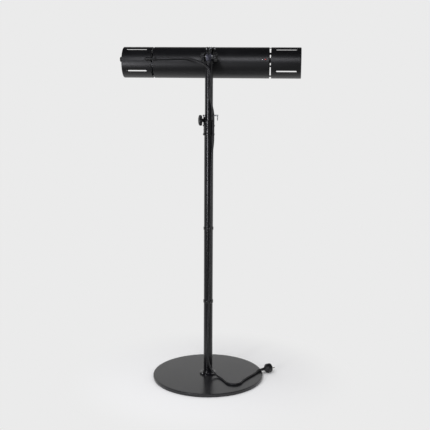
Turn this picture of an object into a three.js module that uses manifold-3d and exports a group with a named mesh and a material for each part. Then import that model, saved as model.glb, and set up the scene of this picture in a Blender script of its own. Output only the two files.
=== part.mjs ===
// Free-standing infrared patio heater: a horizontal tube-shaped heating head that tilts on top of a
// telescopic post with a clamp collar and a safety pin, on a heavy round base, with its supply lead.
// Millimetres, +Z up. The origin is the middle of the base's underside, on the floor.
// +Y is the side that the heater warms, -Y is its back, and +X is to the right seen from the back.
import * as THREE from "three";
import { mergeVertices } from "three/addons/utils/BufferGeometryUtils.js";
import Module from "manifold-3d";

const wasm = await Module();
wasm.setup();

// ---------------------------------------------------------------- driving dimensions
const PLATE_SIDES = 60; // straight edges that stand for each kind of round
const HEAD_SIDES = 40;
const POST_SIDES = 28;
const BOLT_SIDES = 16;
const WIRE_SIDES = 5;
const SEAT_GAP = 0.3; // between pieces that touch without being one flat face on another

// Base
const SHEET_DIAMETER = 484;
const SHEET_THICKNESS = 1.5;
const PLATE_DIAMETER = 500;
const PLATE_THICKNESS = 13.5;
const PLATE_EDGE_RADIUS = 2.5;
const FLANGE_DIAMETER = 76;
const FLANGE_THICKNESS = 5;
const FLANGE_SOCKET_HEIGHT = 14; // the raised ring that holds the post
const FLANGE_SOCKET_WALL = 4;
const FLANGE_SCREW_CIRCLE = 60;
const FLANGE_SCREW_COUNT = 4;
const FLANGE_SCREW_DIAMETER = 6;
const FLANGE_SCREW_HEAD_DIAMETER = 10.5;
const FLANGE_SCREW_HEAD_HEIGHT = 3.3;
const FLANGE_SCREW_LENGTH = 9; // below the flange's top

// Post
const LOWER_TUBE_DIAMETER = 40;
const UPPER_TUBE_DIAMETER = 35;
const TUBE_WALL = 1.5;
const LOWER_TUBE_LENGTH = 1130;
const UPPER_TUBE_LENGTH = 1100;
const UPPER_TUBE_TOP = 1412; // above the floor, with the post let right down
const GUIDE_BUSH_LENGTH = 12;
const GUIDE_BUSH_SPIGOT = 15;

// Clamp collar
const COLLAR_OVERLAP = 40; // how far the collar reaches down over the lower tube
const COLLAR_RISE = 25; // how far it stands above the lower tube
const COLLAR_WALL = 2.9;
const COLLAR_BAND = 2.4; // how far the band at its foot stands out
const COLLAR_BAND_HEIGHT = 9;
const COLLAR_RIDGE_ABOVE_FOOT = 24;
const COLLAR_EAR_RADIUS = 3.4; // a round ear on each side
const COLLAR_EAR_REACH = 26.2; // from the post's axis
const COLLAR_EAR_ABOVE_FOOT = 42;
const COLLAR_RIB_COUNT = 3;
const COLLAR_RIB_PITCH = 8;
const LUG_RADIUS = 18; // the round pad about the clamp screw, whose top carries the safety pin
const LUG_STANDS_OUT = 1.3;
const BUSH_STANDS_OUT = 2; // above the collar
const BUSH_RUNNING_GAP = 0.3; // between the bush and the upper tube
const CLAMP_BELOW_COLLAR_TOP = 0.3;
const CLAMP_AZIMUTH = 12; // degrees that the clamp screw turns from -X towards the back
const CLAMP_BOSS_RADIUS = 8;
const CLAMP_BOSS_REACH = 28; // from the post's axis
const CLAMP_NUT_RADIUS = 5.9;
const CLAMP_NUT_LENGTH = 5;
const CLAMP_STUD_DIAMETER = 6;
const CLAMP_SHOE_RADIUS = 4.6;
const CLAMP_SHOE_LENGTH = 3.6;
const CLAMP_KNOB_DIAMETER = 50;
const CLAMP_KNOB_RIM = 10; // thickness of the lobed rim
const CLAMP_KNOB_NECK = 4;
const CLAMP_KNOB_DOME = 4.5;
const CLAMP_KNOB_NECK_RADIUS = 7;
const CLAMP_KNOB_LOBES = 6;

// Safety pin
const PIN_DIAMETER = 6;
const PIN_LEFT_REACH = 27;
const PIN_RIGHT_REACH = 41;
const PIN_HOLE_CLEARANCE = 0.3;
const RING_DIAMETER = 22; // at the middle of the wire
const RING_WIRE = 2.2;
const RING_FROM_PIN_END = 3.3;

// Tilt bracket
const MAST_CAP_HEIGHT = 12;
const MAST_CAP_DIAMETER = 36.4;
const MAST_CAP_PLUG_DEPTH = 40;
const FORK_WIDTH = 23;
const FORK_HEIGHT = 30;
const FORK_BACK = 14; // behind the post's axis
const FORK_FRONT = 12;
const FORK_CHEEK = 4.7;
const FORK_BACK_WALL = 3.5;
const FORK_FLOOR = 4.5;
const FORK_NOTCH_DEPTH = 10;
const FORK_NOTCH_WIDTH = 17;
const FORK_SPIGOT_DIAMETER = 24;
const FORK_SPIGOT_LENGTH = 58;
const PIVOT_ABOVE_FORK_FOOT = 16;
const TILT_BOLT_DIAMETER = 8;
const TILT_BOLT_REACH = 33; // each way from the middle
const WASHER_DIAMETER = 24;
const WASHER_THICKNESS = 2.5;
const TILT_KNOB_DIAMETER = 38;
const TILT_KNOB_NECK = 4;
const TILT_KNOB_RIM = 15.5;
const TILT_KNOB_DOME = 3;
const TILT_KNOB_LOBES = 7;
const TONGUE_WIDTH = 11;
const TONGUE_PLATE = 2.2;
const TONGUE_PIVOT_RADIUS = 10;
const TONGUE_END_RADIUS = 8.5;
const TONGUE_CHANNEL_FLOOR = 4;
const CROSS_BOLT_DIAMETER = 6;
const CROSS_BOLT_ABOVE_HEAD_AXIS = 59.6;
const CROSS_BOLT_HEAD = 10; // across the flats, for the bolt's head and its nut
const CROSS_BOLT_HEAD_HEIGHT = 4.5;
const SADDLE_THICKNESS = 2.5;
const SADDLE_WIDTH = 46;
const SADDLE_HALF_ANGLE = 17; // degrees each side of the cross bolt
const EAR_INSIDE = 13;
const EAR_THICKNESS = 3;
const EAR_RADIUS = 8;
const SPACER_RADIUS = 5.5;

// Heating head
const HEAD_LENGTH = 788;
const HEAD_DIAMETER = 135;
const HEAD_WALL = 1.5;
const HEAD_AXIS_FORWARD = 115; // of the post's axis
const HEAD_AXIS_HEIGHT = 1416; // above the floor
const CAP_LENGTH = 131.5;
const CAP_END_WALL = 3;
const CAP_CORNER_RADIUS = 3;
const RING_GAP = 9; // between a cap and the housing
const BRIDGE_COUNT = 7;
const BRIDGE_WIDTH = 7.5;
const SPACER_SLEEVE = 7; // how far a spacer ring reaches into the housing and into the cap
const SPACER_WALL = 3.7;
const SLOT_LENGTH = 92;
const SLOT_WIDTH = 8;
const SLOT_FROM_CAP_ENDS = 20;
const UPPER_SLOT_ANGLE = 56; // degrees above the horizontal
const LOWER_SLOT_ANGLE = 31; // degrees below the horizontal
const WINDOW_FROM_HOUSING_ENDS = 25.5;
const WINDOW_HEIGHT = 98;
const BULKHEAD_THICKNESS = 2;
const REFLECTOR_THICKNESS = 1.2;
const REFLECTOR_DEPTH = 46;
const REFLECTOR_VERTEX_FORWARD = -8; // of the head's axis
const LAMP_DIAMETER = 15;
const LAMP_GLASS = 1.2;
const LAMP_FORWARD = 4; // of the head's axis
const LAMP_IN_HOLDER = 6;
const HOLDER_DIAMETER = 21;
const HOLDER_LENGTH = 11;
const FILAMENT_DIAMETER = 3;
const GUARD_WIRE = 2.4;
const GUARD_ROD = 3;
const GUARD_ARCH_COUNT = 15;
const DUCT_HEIGHT = 22;
const DUCT_DEPTH = 18;
const DUCT_WALL = 1.4;
const DUCT_BACK = 56; // behind the head's axis
const DUCT_IN_CAP = 22; // how far the duct reaches into each cap

// Controls and lead
const CONTROL_ABOVE_HEAD_AXIS = 13;
const CONTROL_KNOB_DIAMETER = 26;
const CONTROL_KNOB_LENGTH = 17;
const CONTROL_SHAFT_DIAMETER = 6;
const SWITCH_SIZE = 28;
const SWITCH_DEPTH = 24;
const TERMINAL_LENGTH = 34;
const TERMINAL_DEPTH = 16;
const TERMINAL_HEIGHT = 18;
const GLAND_FROM_CAP_INNER_END = 19.5;
const GLAND_ABOVE_HEAD_AXIS = 15.6;
const GLAND_RADIUS = 6.5;
const GLAND_NOSE_LENGTH = 14;
const GLAND_STANDOFF = 7.5; // of the lead's middle from the cap's surface
const LEAD_DIAMETER = 8.4;
const LEAD_SIDES = 8;
const CLIP_HEIGHTS = [693, 358];
const CLIP_WIDTH = 12;
const CLIP_WALL = 1.8;
const PLUG_DIAMETER = 41.6;
const PLUG_LENGTH = 50;
const PLUG_NECK_DIAMETER = 11.5;
const PLUG_PIN_DIAMETER = 4.8;
const PLUG_PIN_LENGTH = 19;
const PLUG_PIN_SPACING = 19;
const PLUG_AZIMUTH = 38; // degrees from +X towards +Y

// ---------------------------------------------------------------- heights and places worked out
const plateTop = SHEET_THICKNESS + PLATE_THICKNESS;
const flangeTop = plateTop + FLANGE_THICKNESS;
const lowerTubeTop = plateTop + LOWER_TUBE_LENGTH;
const lowerTubeRadius = LOWER_TUBE_DIAMETER / 2;
const lowerTubeBore = lowerTubeRadius - TUBE_WALL;
const upperTubeRadius = UPPER_TUBE_DIAMETER / 2;
const upperTubeBore = upperTubeRadius - TUBE_WALL;
const upperTubeBottom = UPPER_TUBE_TOP - UPPER_TUBE_LENGTH;
const collarBottom = lowerTubeTop - COLLAR_OVERLAP;
const collarTop = lowerTubeTop + COLLAR_RISE;
const bushTop = collarTop + BUSH_STANDS_OUT;
const collarBore = lowerTubeRadius + SEAT_GAP;
const collarRadius = collarBore + COLLAR_WALL;
const clampHeight = collarTop - CLAMP_BELOW_COLLAR_TOP;
const lugTop = clampHeight + LUG_RADIUS;
const pinHeight = lugTop + SEAT_GAP + PIN_DIAMETER / 2; // the pin rests on the lug's top
const bushBore = upperTubeRadius + BUSH_RUNNING_GAP;
const forkFoot = UPPER_TUBE_TOP + MAST_CAP_HEIGHT;
const pivotHeight = forkFoot + PIVOT_ABOVE_FORK_FOOT;
const headRadius = HEAD_DIAMETER / 2;
const headBore = headRadius - HEAD_WALL;
const headHalf = HEAD_LENGTH / 2;
const capInnerEnd = headHalf - CAP_LENGTH;
const housingEnd = capInnerEnd - RING_GAP;
const windowLength = 2 * (housingEnd - WINDOW_FROM_HOUSING_ENDS);
const bulkheadInner = housingEnd - SPACER_SLEEVE - BULKHEAD_THICKNESS - 2 * SEAT_GAP;
const leadRadius = LEAD_DIAMETER / 2;

// ---------------------------------------------------------------- solids
/** A closed geometry as a manifold solid, turned so that its faces look outwards. */
function solid(geometry) {
  const bare = geometry.clone();
  for (const name of Object.keys(bare.attributes)) {
    if (name !== "position") bare.deleteAttribute(name);
  }
  const merged = mergeVertices(bare, 1e-4);
  const corners = merged.attributes.position;
  const index = merged.index.array;
  const kept = [];
  for (let i = 0; i < index.length; i += 3) {
    const [a, b, c] = [index[i], index[i + 1], index[i + 2]];
    if (a !== b && b !== c && c !== a) kept.push(a, b, c);
  }
  let volume = 0;
  const [p, q, r] = [new THREE.Vector3(), new THREE.Vector3(), new THREE.Vector3()];
  for (let i = 0; i < kept.length; i += 3) {
    p.fromBufferAttribute(corners, kept[i]);
    q.fromBufferAttribute(corners, kept[i + 1]);
    r.fromBufferAttribute(corners, kept[i + 2]);
    volume += p.dot(q.cross(r));
  }
  if (volume < 0) kept.reverse();
  return new wasm.Manifold(
    new wasm.Mesh({
      numProp: 3,
      vertProperties: new Float32Array(corners.array),
      triVerts: new Uint32Array(kept),
    }),
  );
}

/** A manifold solid as a geometry with flat faces. */
function geometryOf(body) {
  const mesh = body.getMesh();
  const count = mesh.numVert;
  const positions = new Float32Array(count * 3);
  for (let i = 0; i < count; i++) {
    const from = i * mesh.numProp;
    positions.set(mesh.vertProperties.subarray(from, from + 3), i * 3);
  }
  const geometry = new THREE.BufferGeometry();
  geometry.setAttribute("position", new THREE.BufferAttribute(positions, 3));
  geometry.setIndex(new THREE.BufferAttribute(new Uint32Array(mesh.triVerts), 1));
  return geometry;
}

/** The geometries joined into one solid. */
function join(...geometries) {
  return geometryOf(geometries.map(solid).reduce((a, b) => a.add(b)));
}

/** The first geometry with the others cut away. */
function cut(geometry, ...tools) {
  return geometryOf(tools.map(solid).reduce((a, b) => a.subtract(b), solid(geometry)));
}

/** What the two geometries have in common. */
function common(a, b) {
  return geometryOf(solid(a).intersect(solid(b)));
}

/** A solid of revolution about Z from [radius, height] corners in order round the section. */
function revolve(section, sides = POST_SIDES) {
  const corners = section.map(([radius, height]) => new THREE.Vector2(radius, height));
  const onAxis = section[0][0] === 0 && section[section.length - 1][0] === 0;
  if (!onAxis) corners.push(corners[0].clone());
  return new THREE.LatheGeometry(corners, sides).rotateX(Math.PI / 2);
}

/** A round bar along Z from one height to another. */
function bar(radius, from, to, sides = BOLT_SIDES) {
  const length = to - from;
  const geometry = new THREE.CylinderGeometry(radius, radius, length, sides);
  return geometry.rotateX(Math.PI / 2).translate(0, 0, from + length / 2);
}

/** A ring or sleeve along Z. */
function sleeve(bore, radius, from, to, sides = POST_SIDES) {
  const section = [
    [bore, from],
    [radius, from],
    [radius, to],
    [bore, to],
  ];
  return revolve(section, sides);
}

/** A block from its two opposite corners. */
function block(low, high) {
  const size = high.map((h, i) => h - low[i]);
  const middle = high.map((h, i) => (h + low[i]) / 2);
  return new THREE.BoxGeometry(...size).translate(...middle);
}

/** An outline in X and Y pulled up along Z. */
function pull(outline, from, to, options = {}) {
  const settings = { depth: to - from, bevelEnabled: false, curveSegments: 4, ...options };
  return new THREE.ExtrudeGeometry(outline, settings).translate(0, 0, from);
}

/** Lays what was made along Z along +X instead; what was +X then looks along -Z. */
function alongX(geometry) {
  return geometry.rotateY(Math.PI / 2);
}

/** An outline drawn in the head's Y and Z, pulled along X. */
function pullAlongX(outline, from, to, options = {}) {
  const turned = pull(outline, from, to, options);
  return turned.applyMatrix4(new THREE.Matrix4().makeBasis(
    new THREE.Vector3(0, 1, 0),
    new THREE.Vector3(0, 0, 1),
    new THREE.Vector3(1, 0, 0),
  ));
}

/** The outline of two circles and the straight lines that touch both. */
function capsule([ax, ay], aRadius, [bx, by], bRadius, steps = 6) {
  const length = Math.hypot(bx - ax, by - ay);
  const heading = Math.atan2(by - ay, bx - ax);
  const lean = Math.acos((aRadius - bRadius) / length);
  const corners = [];
  for (let i = 0; i <= steps; i++) {
    const angle = heading + lean + (i / steps) * (2 * Math.PI - 2 * lean);
    corners.push(new THREE.Vector2(ax + aRadius * Math.cos(angle), ay + aRadius * Math.sin(angle)));
  }
  for (let i = 0; i <= steps; i++) {
    const angle = heading - lean + (i / steps) * 2 * lean;
    corners.push(new THREE.Vector2(bx + bRadius * Math.cos(angle), by + bRadius * Math.sin(angle)));
  }
  return new THREE.Shape(corners);
}

/** A round tube along a smooth line through the points. */
function tubeAlong(points, radius, sides, steps) {
  const line = new THREE.CatmullRomCurve3(points.map((p) => new THREE.Vector3(...p)));
  const section = new THREE.Shape();
  for (let i = 0; i < sides; i++) {
    const angle = (i / sides) * 2 * Math.PI;
    const [x, y] = [radius * Math.cos(angle), radius * Math.sin(angle)];
    if (i) section.lineTo(x, y);
    else section.moveTo(x, y);
  }
  section.closePath();
  return new THREE.ExtrudeGeometry(section, { steps, extrudePath: line, curveSegments: 1 });
}

/** A lobed hand knob along +Z: a neck, a rim with rounded lobes and a shallow dome. */
function lobedKnob({ diameter, lobes, neckRadius, neck, rim, dome, bore, boreDepth }) {
  const reach = diameter / 2;
  const dip = reach * 0.09;
  const corners = [];
  const steps = lobes * 5;
  for (let i = 0; i < steps; i++) {
    const angle = (i / steps) * 2 * Math.PI;
    const radius = reach - dip + dip * Math.cos(lobes * angle);
    corners.push(new THREE.Vector2(radius * Math.cos(angle), radius * Math.sin(angle)));
  }
  const edge = 1.5;
  const bevel = { bevelEnabled: true, bevelThickness: edge, bevelSize: edge, bevelOffset: -edge,
    bevelSegments: 1 };
  const grip = pull(new THREE.Shape(corners), neck + edge, neck + rim - edge, bevel);
  const top = neck + rim;
  const crown = revolve([
    [0, neck + 1],
    [reach * 0.6, neck + 1],
    [reach * 0.6, top],
    [reach * 0.4, top + dome * 0.75],
    [0, top + dome],
  ], 20);
  const stem = bar(neckRadius, 0, neck + 2, 20);
  return cut(join(grip, crown, stem), bar(bore, -1, boreDepth));
}

/** A six-sided bar along Z, by its size across the flats. */
function hexBar(flats, from, to) {
  return bar(flats / Math.sqrt(3), from, to, 6);
}

// ---------------------------------------------------------------- finishes
const finish = (color, roughness, metalness) => ({ color, roughness, metalness });
const BLACK_PAINT = finish(0x1d1d20, 0.42, 0.1);
const BASE_PAINT = finish(0x4d4d4f, 0.5, 0.2);
const BLACK_PLASTIC = finish(0x18181a, 0.55, 0);
const RUBBER = finish(0x141414, 0.85, 0);
const CAST_METAL = finish(0x77787c, 0.45, 0.8);
const ZINC = finish(0xb9bbbd, 0.35, 0.9);
const STEEL = finish(0x8f9193, 0.3, 0.95);
const BRASS = finish(0xb08d48, 0.35, 0.9);
const MIRROR = finish(0xd8d9da, 0.12, 1);
const QUARTZ = finish(0xe9ddc8, 0.08, 0);
const CERAMIC = finish(0xece8de, 0.6, 0);
const TUNGSTEN = finish(0x55504a, 0.5, 0.8);
const LEAD_RUBBER = finish(0x121214, 0.6, 0);

const heater = new THREE.Group();
const headGroup = new THREE.Group();
headGroup.position.set(0, HEAD_AXIS_FORWARD, HEAD_AXIS_HEIGHT);
heater.add(headGroup);

/** Adds one named piece of the heater to a group. */
function piece(group, name, geometry, look) {
  const mesh = new THREE.Mesh(geometry, new THREE.MeshStandardMaterial(look));
  mesh.name = name;
  group.add(mesh);
  return mesh;
}

// ---------------------------------------------------------------- base
piece(heater, "anti_slip_sheet", bar(SHEET_DIAMETER / 2, 0, SHEET_THICKNESS, PLATE_SIDES), RUBBER);

const plateRadius = PLATE_DIAMETER / 2;
const plateSection = [[0, SHEET_THICKNESS], [plateRadius - 1.5, SHEET_THICKNESS]];
plateSection.push([plateRadius, SHEET_THICKNESS + 1.5]);
for (const turn of [0, 45, 90]) {
  const angle = THREE.MathUtils.degToRad(turn);
  plateSection.push([
    plateRadius - PLATE_EDGE_RADIUS + PLATE_EDGE_RADIUS * Math.cos(angle),
    plateTop - PLATE_EDGE_RADIUS + PLATE_EDGE_RADIUS * Math.sin(angle),
  ]);
}
plateSection.push([0, plateTop]);

const screwSpots = [];
for (let i = 0; i < FLANGE_SCREW_COUNT; i++) {
  const angle = (2 * Math.PI * (i + 0.5)) / FLANGE_SCREW_COUNT;
  const reach = FLANGE_SCREW_CIRCLE / 2;
  screwSpots.push([reach * Math.cos(angle), reach * Math.sin(angle)]);
}
const screwBottom = flangeTop - FLANGE_SCREW_LENGTH;
const screwHole = FLANGE_SCREW_DIAMETER / 2 + SEAT_GAP;
const screwHoles = screwSpots.map(([x, y]) =>
  bar(screwHole, screwBottom - SEAT_GAP, flangeTop + 1, 12).translate(x, y, 0),
);
piece(heater, "base_plate", cut(revolve(plateSection, PLATE_SIDES), ...screwHoles), BASE_PAINT);

const socketBore = lowerTubeRadius + SEAT_GAP;
const socketRadius = socketBore + FLANGE_SOCKET_WALL;
const flange = revolve([
  [socketBore, plateTop],
  [FLANGE_DIAMETER / 2, plateTop],
  [FLANGE_DIAMETER / 2, flangeTop - 1],
  [FLANGE_DIAMETER / 2 - 1, flangeTop],
  [socketRadius, flangeTop],
  [socketRadius, plateTop + FLANGE_SOCKET_HEIGHT - 1.5],
  [socketRadius - 1.5, plateTop + FLANGE_SOCKET_HEIGHT],
  [socketBore, plateTop + FLANGE_SOCKET_HEIGHT],
]);
piece(heater, "post_flange", cut(flange, ...screwHoles), BLACK_PAINT);

screwSpots.forEach(([x, y], i) => {
  const headTop = flangeTop + FLANGE_SCREW_HEAD_HEIGHT;
  const headRadiusHere = FLANGE_SCREW_HEAD_DIAMETER / 2;
  const body = revolve([
    [0, screwBottom],
    [FLANGE_SCREW_DIAMETER / 2, screwBottom],
    [FLANGE_SCREW_DIAMETER / 2, flangeTop],
    [headRadiusHere, flangeTop],
    [headRadiusHere * 0.7, headTop],
    [0, headTop],
  ], 12);
  const socket = hexBar(4, headTop - 2, headTop + 1);
  const screw = cut(body, socket).translate(x, y, 0);
  piece(heater, "flange_screw_" + (i + 1), screw, STEEL);
});

// ---------------------------------------------------------------- post
const lowerTube = sleeve(lowerTubeBore, lowerTubeRadius, plateTop, lowerTubeTop);
piece(heater, "lower_tube", lowerTube, BLACK_PAINT);

const pinBore = PIN_DIAMETER / 2 + PIN_HOLE_CLEARANCE;
const acrossPost = (radius) =>
  alongX(bar(radius, -LOWER_TUBE_DIAMETER, LOWER_TUBE_DIAMETER)).translate(0, 0, pinHeight);
const upperTube = sleeve(upperTubeBore, upperTubeRadius, upperTubeBottom, UPPER_TUBE_TOP);
piece(heater, "upper_tube", cut(upperTube, acrossPost(pinBore)), BLACK_PAINT);

const bushBottomRadius = lowerTubeBore - SEAT_GAP;
piece(heater, "guide_bush", revolve([
  [upperTubeBore - 4, upperTubeBottom - GUIDE_BUSH_LENGTH],
  [bushBottomRadius, upperTubeBottom - GUIDE_BUSH_LENGTH],
  [bushBottomRadius, upperTubeBottom],
  [upperTubeBore - SEAT_GAP, upperTubeBottom],
  [upperTubeBore - SEAT_GAP, upperTubeBottom + GUIDE_BUSH_SPIGOT],
  [upperTubeBore - 4, upperTubeBottom + GUIDE_BUSH_SPIGOT],
]), BLACK_PLASTIC);

// ---------------------------------------------------------------- clamp collar
const bandRadius = collarRadius + COLLAR_BAND;
const ridgeHeight = collarBottom + COLLAR_RIDGE_ABOVE_FOOT;
const earHeight = collarBottom + COLLAR_EAR_ABOVE_FOOT;
const collarSection = [
  [collarBore, collarBottom],
  [bandRadius - 1.2, collarBottom],
  [bandRadius, collarBottom + 2],
  [bandRadius, collarBottom + COLLAR_BAND_HEIGHT - 1],
  [collarRadius, collarBottom + COLLAR_BAND_HEIGHT + 1],
  [collarRadius, ridgeHeight - 1.5],
  [collarRadius + 0.9, ridgeHeight],
  [collarRadius, ridgeHeight + 1.5],
  [collarRadius, collarTop - 5],
  [collarRadius + 0.9, collarTop - 3.5],
  [collarRadius + 0.9, collarTop],
  [collarBore, collarTop],
];
const clampTurn = THREE.MathUtils.degToRad(180 + CLAMP_AZIMUTH);
/** Puts what was made along +X, from the post's axis outwards, along the clamp screw. */
function alongClamp(geometry) {
  return geometry.rotateZ(clampTurn).translate(0, 0, clampHeight);
}
const nutStart = CLAMP_BOSS_REACH - CLAMP_NUT_LENGTH;
const shoeStart = upperTubeRadius + SEAT_GAP;
const shoeEnd = shoeStart + CLAMP_SHOE_LENGTH;
const shoeBore = CLAMP_SHOE_RADIUS + SEAT_GAP;
const boss = alongClamp(alongX(bar(CLAMP_BOSS_RADIUS, collarBore + 1, CLAMP_BOSS_REACH, 24)));
const nutPocket = alongClamp(
  alongX(bar(CLAMP_NUT_RADIUS + SEAT_GAP, nutStart - SEAT_GAP, CLAMP_BOSS_REACH + 1)),
);
const shoePassage = alongClamp(alongX(bar(shoeBore, 5, CLAMP_BOSS_REACH)));
const ribs = [];
for (let i = 0; i < COLLAR_RIB_COUNT; i++) {
  const height = earHeight + (i - (COLLAR_RIB_COUNT + 1) / 2 + 0.6) * COLLAR_RIB_PITCH;
  const rib = block([collarRadius - 1.5, -3.4, height], [collarRadius + 0.9, 3.4, height + 2.4]);
  ribs.push(rib.rotateZ(THREE.MathUtils.degToRad(-108)));
}
const ears = alongX(bar(COLLAR_EAR_RADIUS, -COLLAR_EAR_REACH, COLLAR_EAR_REACH, 12))
  .translate(0, 0, earHeight);
const lugPad = common(
  alongClamp(alongX(bar(LUG_RADIUS, 5, CLAMP_BOSS_REACH, 32))),
  bar(collarRadius + LUG_STANDS_OUT, collarBottom, lugTop + 5, POST_SIDES),
);
const collarBody = join(revolve(collarSection), lugPad, boss, ears, ...ribs);
const collarHollow = bar(collarBore, collarBottom - 1, lugTop + 1, POST_SIDES);
const collar = cut(collarBody, collarHollow, nutPocket, shoePassage);
piece(heater, "clamp_collar", collar, BLACK_PLASTIC);

const liner = sleeve(bushBore, collarBore - SEAT_GAP, lowerTubeTop + SEAT_GAP, bushTop);
piece(heater, "collar_bush", cut(liner, shoePassage.clone()), BLACK_PLASTIC);

const studRadius = CLAMP_STUD_DIAMETER / 2;
const nut = cut(
  hexBar(CLAMP_NUT_RADIUS * Math.sqrt(3), nutStart, CLAMP_BOSS_REACH - SEAT_GAP),
  bar(studRadius + SEAT_GAP, nutStart - 1, CLAMP_BOSS_REACH + 1),
);
piece(heater, "clamp_nut", alongClamp(alongX(nut)), BRASS);
const shoe = revolve([
  [0, shoeStart],
  [CLAMP_SHOE_RADIUS, shoeStart],
  [CLAMP_SHOE_RADIUS, shoeEnd],
  [0, shoeEnd],
], BOLT_SIDES);
// The shoe's face is hollowed to the tube's round.
const shoePlaced = alongClamp(alongX(shoe));
piece(heater, "clamp_shoe", cut(
  shoePlaced,
  bar(shoeStart, clampHeight - CLAMP_BOSS_RADIUS, clampHeight + CLAMP_BOSS_RADIUS, POST_SIDES),
), BRASS);

const knobStart = CLAMP_BOSS_REACH + SEAT_GAP;
const clampKnobBore = 12;
piece(heater, "clamp_stud", alongClamp(
  alongX(bar(studRadius, shoeEnd + SEAT_GAP, knobStart + clampKnobBore - SEAT_GAP)),
), STEEL);
const clampKnob = lobedKnob({
  diameter: CLAMP_KNOB_DIAMETER,
  lobes: CLAMP_KNOB_LOBES,
  neckRadius: CLAMP_KNOB_NECK_RADIUS,
  neck: CLAMP_KNOB_NECK,
  rim: CLAMP_KNOB_RIM,
  dome: CLAMP_KNOB_DOME,
  bore: studRadius + SEAT_GAP,
  boreDepth: clampKnobBore,
}).translate(0, 0, knobStart);
piece(heater, "clamp_knob", alongClamp(alongX(clampKnob)), BLACK_PLASTIC);

// ---------------------------------------------------------------- safety pin
const ringX = PIN_RIGHT_REACH - RING_FROM_PIN_END;
const ringRadius = RING_DIAMETER / 2;
const eyeRadius = RING_WIRE / 2 + 0.7;
const pinBody = alongX(revolve([
  [0, -PIN_LEFT_REACH],
  [PIN_DIAMETER / 2 - 1.2, -PIN_LEFT_REACH],
  [PIN_DIAMETER / 2, -PIN_LEFT_REACH + 2],
  [PIN_DIAMETER / 2, PIN_RIGHT_REACH],
  [0, PIN_RIGHT_REACH],
], BOLT_SIDES)).translate(0, 0, pinHeight);
const eye = bar(eyeRadius, -10, 10, 12).rotateX(Math.PI / 2).translate(ringX, 0, pinHeight);
piece(heater, "safety_pin", cut(pinBody, eye), ZINC);
const pullRing = new THREE.TorusGeometry(ringRadius, RING_WIRE / 2, 6, 24);
pullRing.rotateY(Math.PI / 2).translate(ringX, 0, pinHeight - ringRadius);
piece(heater, "pull_ring", join(pullRing), ZINC);

// ---------------------------------------------------------------- top of the mast
const mastCapRadius = MAST_CAP_DIAMETER / 2;
const spigotRadius = FORK_SPIGOT_DIAMETER / 2;
piece(heater, "mast_cap", revolve([
  [spigotRadius + SEAT_GAP, UPPER_TUBE_TOP - MAST_CAP_PLUG_DEPTH],
  [upperTubeBore - SEAT_GAP, UPPER_TUBE_TOP - MAST_CAP_PLUG_DEPTH],
  [upperTubeBore - SEAT_GAP, UPPER_TUBE_TOP],
  [mastCapRadius, UPPER_TUBE_TOP],
  [mastCapRadius, forkFoot - 1.5],
  [mastCapRadius - 1.5, forkFoot],
  [spigotRadius + SEAT_GAP, forkFoot],
]), BLACK_PLASTIC);

const forkTop = forkFoot + FORK_HEIGHT;
const forkHalf = FORK_WIDTH / 2;
const forkBody = new THREE.Shape();
const forkRound = 6;
forkBody.moveTo(-FORK_BACK, forkFoot);
forkBody.lineTo(FORK_FRONT, forkFoot);
forkBody.lineTo(FORK_FRONT, forkTop - forkRound);
forkBody.absarc(FORK_FRONT - forkRound, forkTop - forkRound, forkRound, 0, Math.PI / 2);
forkBody.lineTo(-FORK_BACK + 2, forkTop);
forkBody.lineTo(-FORK_BACK, forkTop - 2);
forkBody.closePath();
const forkSlot = block(
  [-forkHalf + FORK_CHEEK, -FORK_BACK + FORK_BACK_WALL, forkFoot + FORK_FLOOR],
  [forkHalf - FORK_CHEEK, FORK_FRONT + 1, forkTop + 1],
);
const notch = new THREE.Shape([
  new THREE.Vector2(-FORK_NOTCH_WIDTH / 2, forkTop + 0.5),
  new THREE.Vector2(0, forkTop - FORK_NOTCH_DEPTH),
  new THREE.Vector2(FORK_NOTCH_WIDTH / 2, forkTop + 0.5),
]);
const notchCut = pull(notch, -FORK_FRONT - 1, FORK_BACK + 1).rotateX(Math.PI / 2);
const tiltBoltRadius = TILT_BOLT_DIAMETER / 2;
const pivotBore = alongX(bar(tiltBoltRadius + SEAT_GAP, -40, 40)).translate(0, 0, pivotHeight);
const spigot = bar(spigotRadius, forkFoot - FORK_SPIGOT_LENGTH, forkFoot + 1, 24);
piece(heater, "mast_fork", cut(
  join(pullAlongX(forkBody, -forkHalf, forkHalf), spigot),
  forkSlot,
  notchCut,
  pivotBore,
), CAST_METAL);

piece(heater, "tilt_bolt", alongX(
  bar(tiltBoltRadius, -TILT_BOLT_REACH, TILT_BOLT_REACH),
).translate(0, 0, pivotHeight), STEEL);
const washerStart = forkHalf + SEAT_GAP;
const washerEnd = washerStart + WASHER_THICKNESS;
const tiltKnobStart = washerEnd + SEAT_GAP;
for (const [name, side] of [["left", -1], ["right", 1]]) {
  const ring = sleeve(tiltBoltRadius + SEAT_GAP, WASHER_DIAMETER / 2, washerStart, washerEnd, 20);
  const knob = lobedKnob({
    diameter: TILT_KNOB_DIAMETER,
    lobes: TILT_KNOB_LOBES,
    neckRadius: 10,
    neck: TILT_KNOB_NECK,
    rim: TILT_KNOB_RIM,
    dome: TILT_KNOB_DOME,
    bore: tiltBoltRadius + SEAT_GAP,
    boreDepth: TILT_BOLT_REACH - tiltKnobStart + SEAT_GAP,
  }).translate(0, 0, tiltKnobStart);
  const turn = side < 0 ? Math.PI : 0;
  const washer = alongX(ring).rotateZ(turn).translate(0, 0, pivotHeight);
  piece(heater, "tilt_washer_" + name, washer, ZINC);
  const grip = alongX(knob).rotateZ(turn).translate(0, 0, pivotHeight);
  piece(heater, "tilt_knob_" + name, grip, BLACK_PLASTIC);
}

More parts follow.
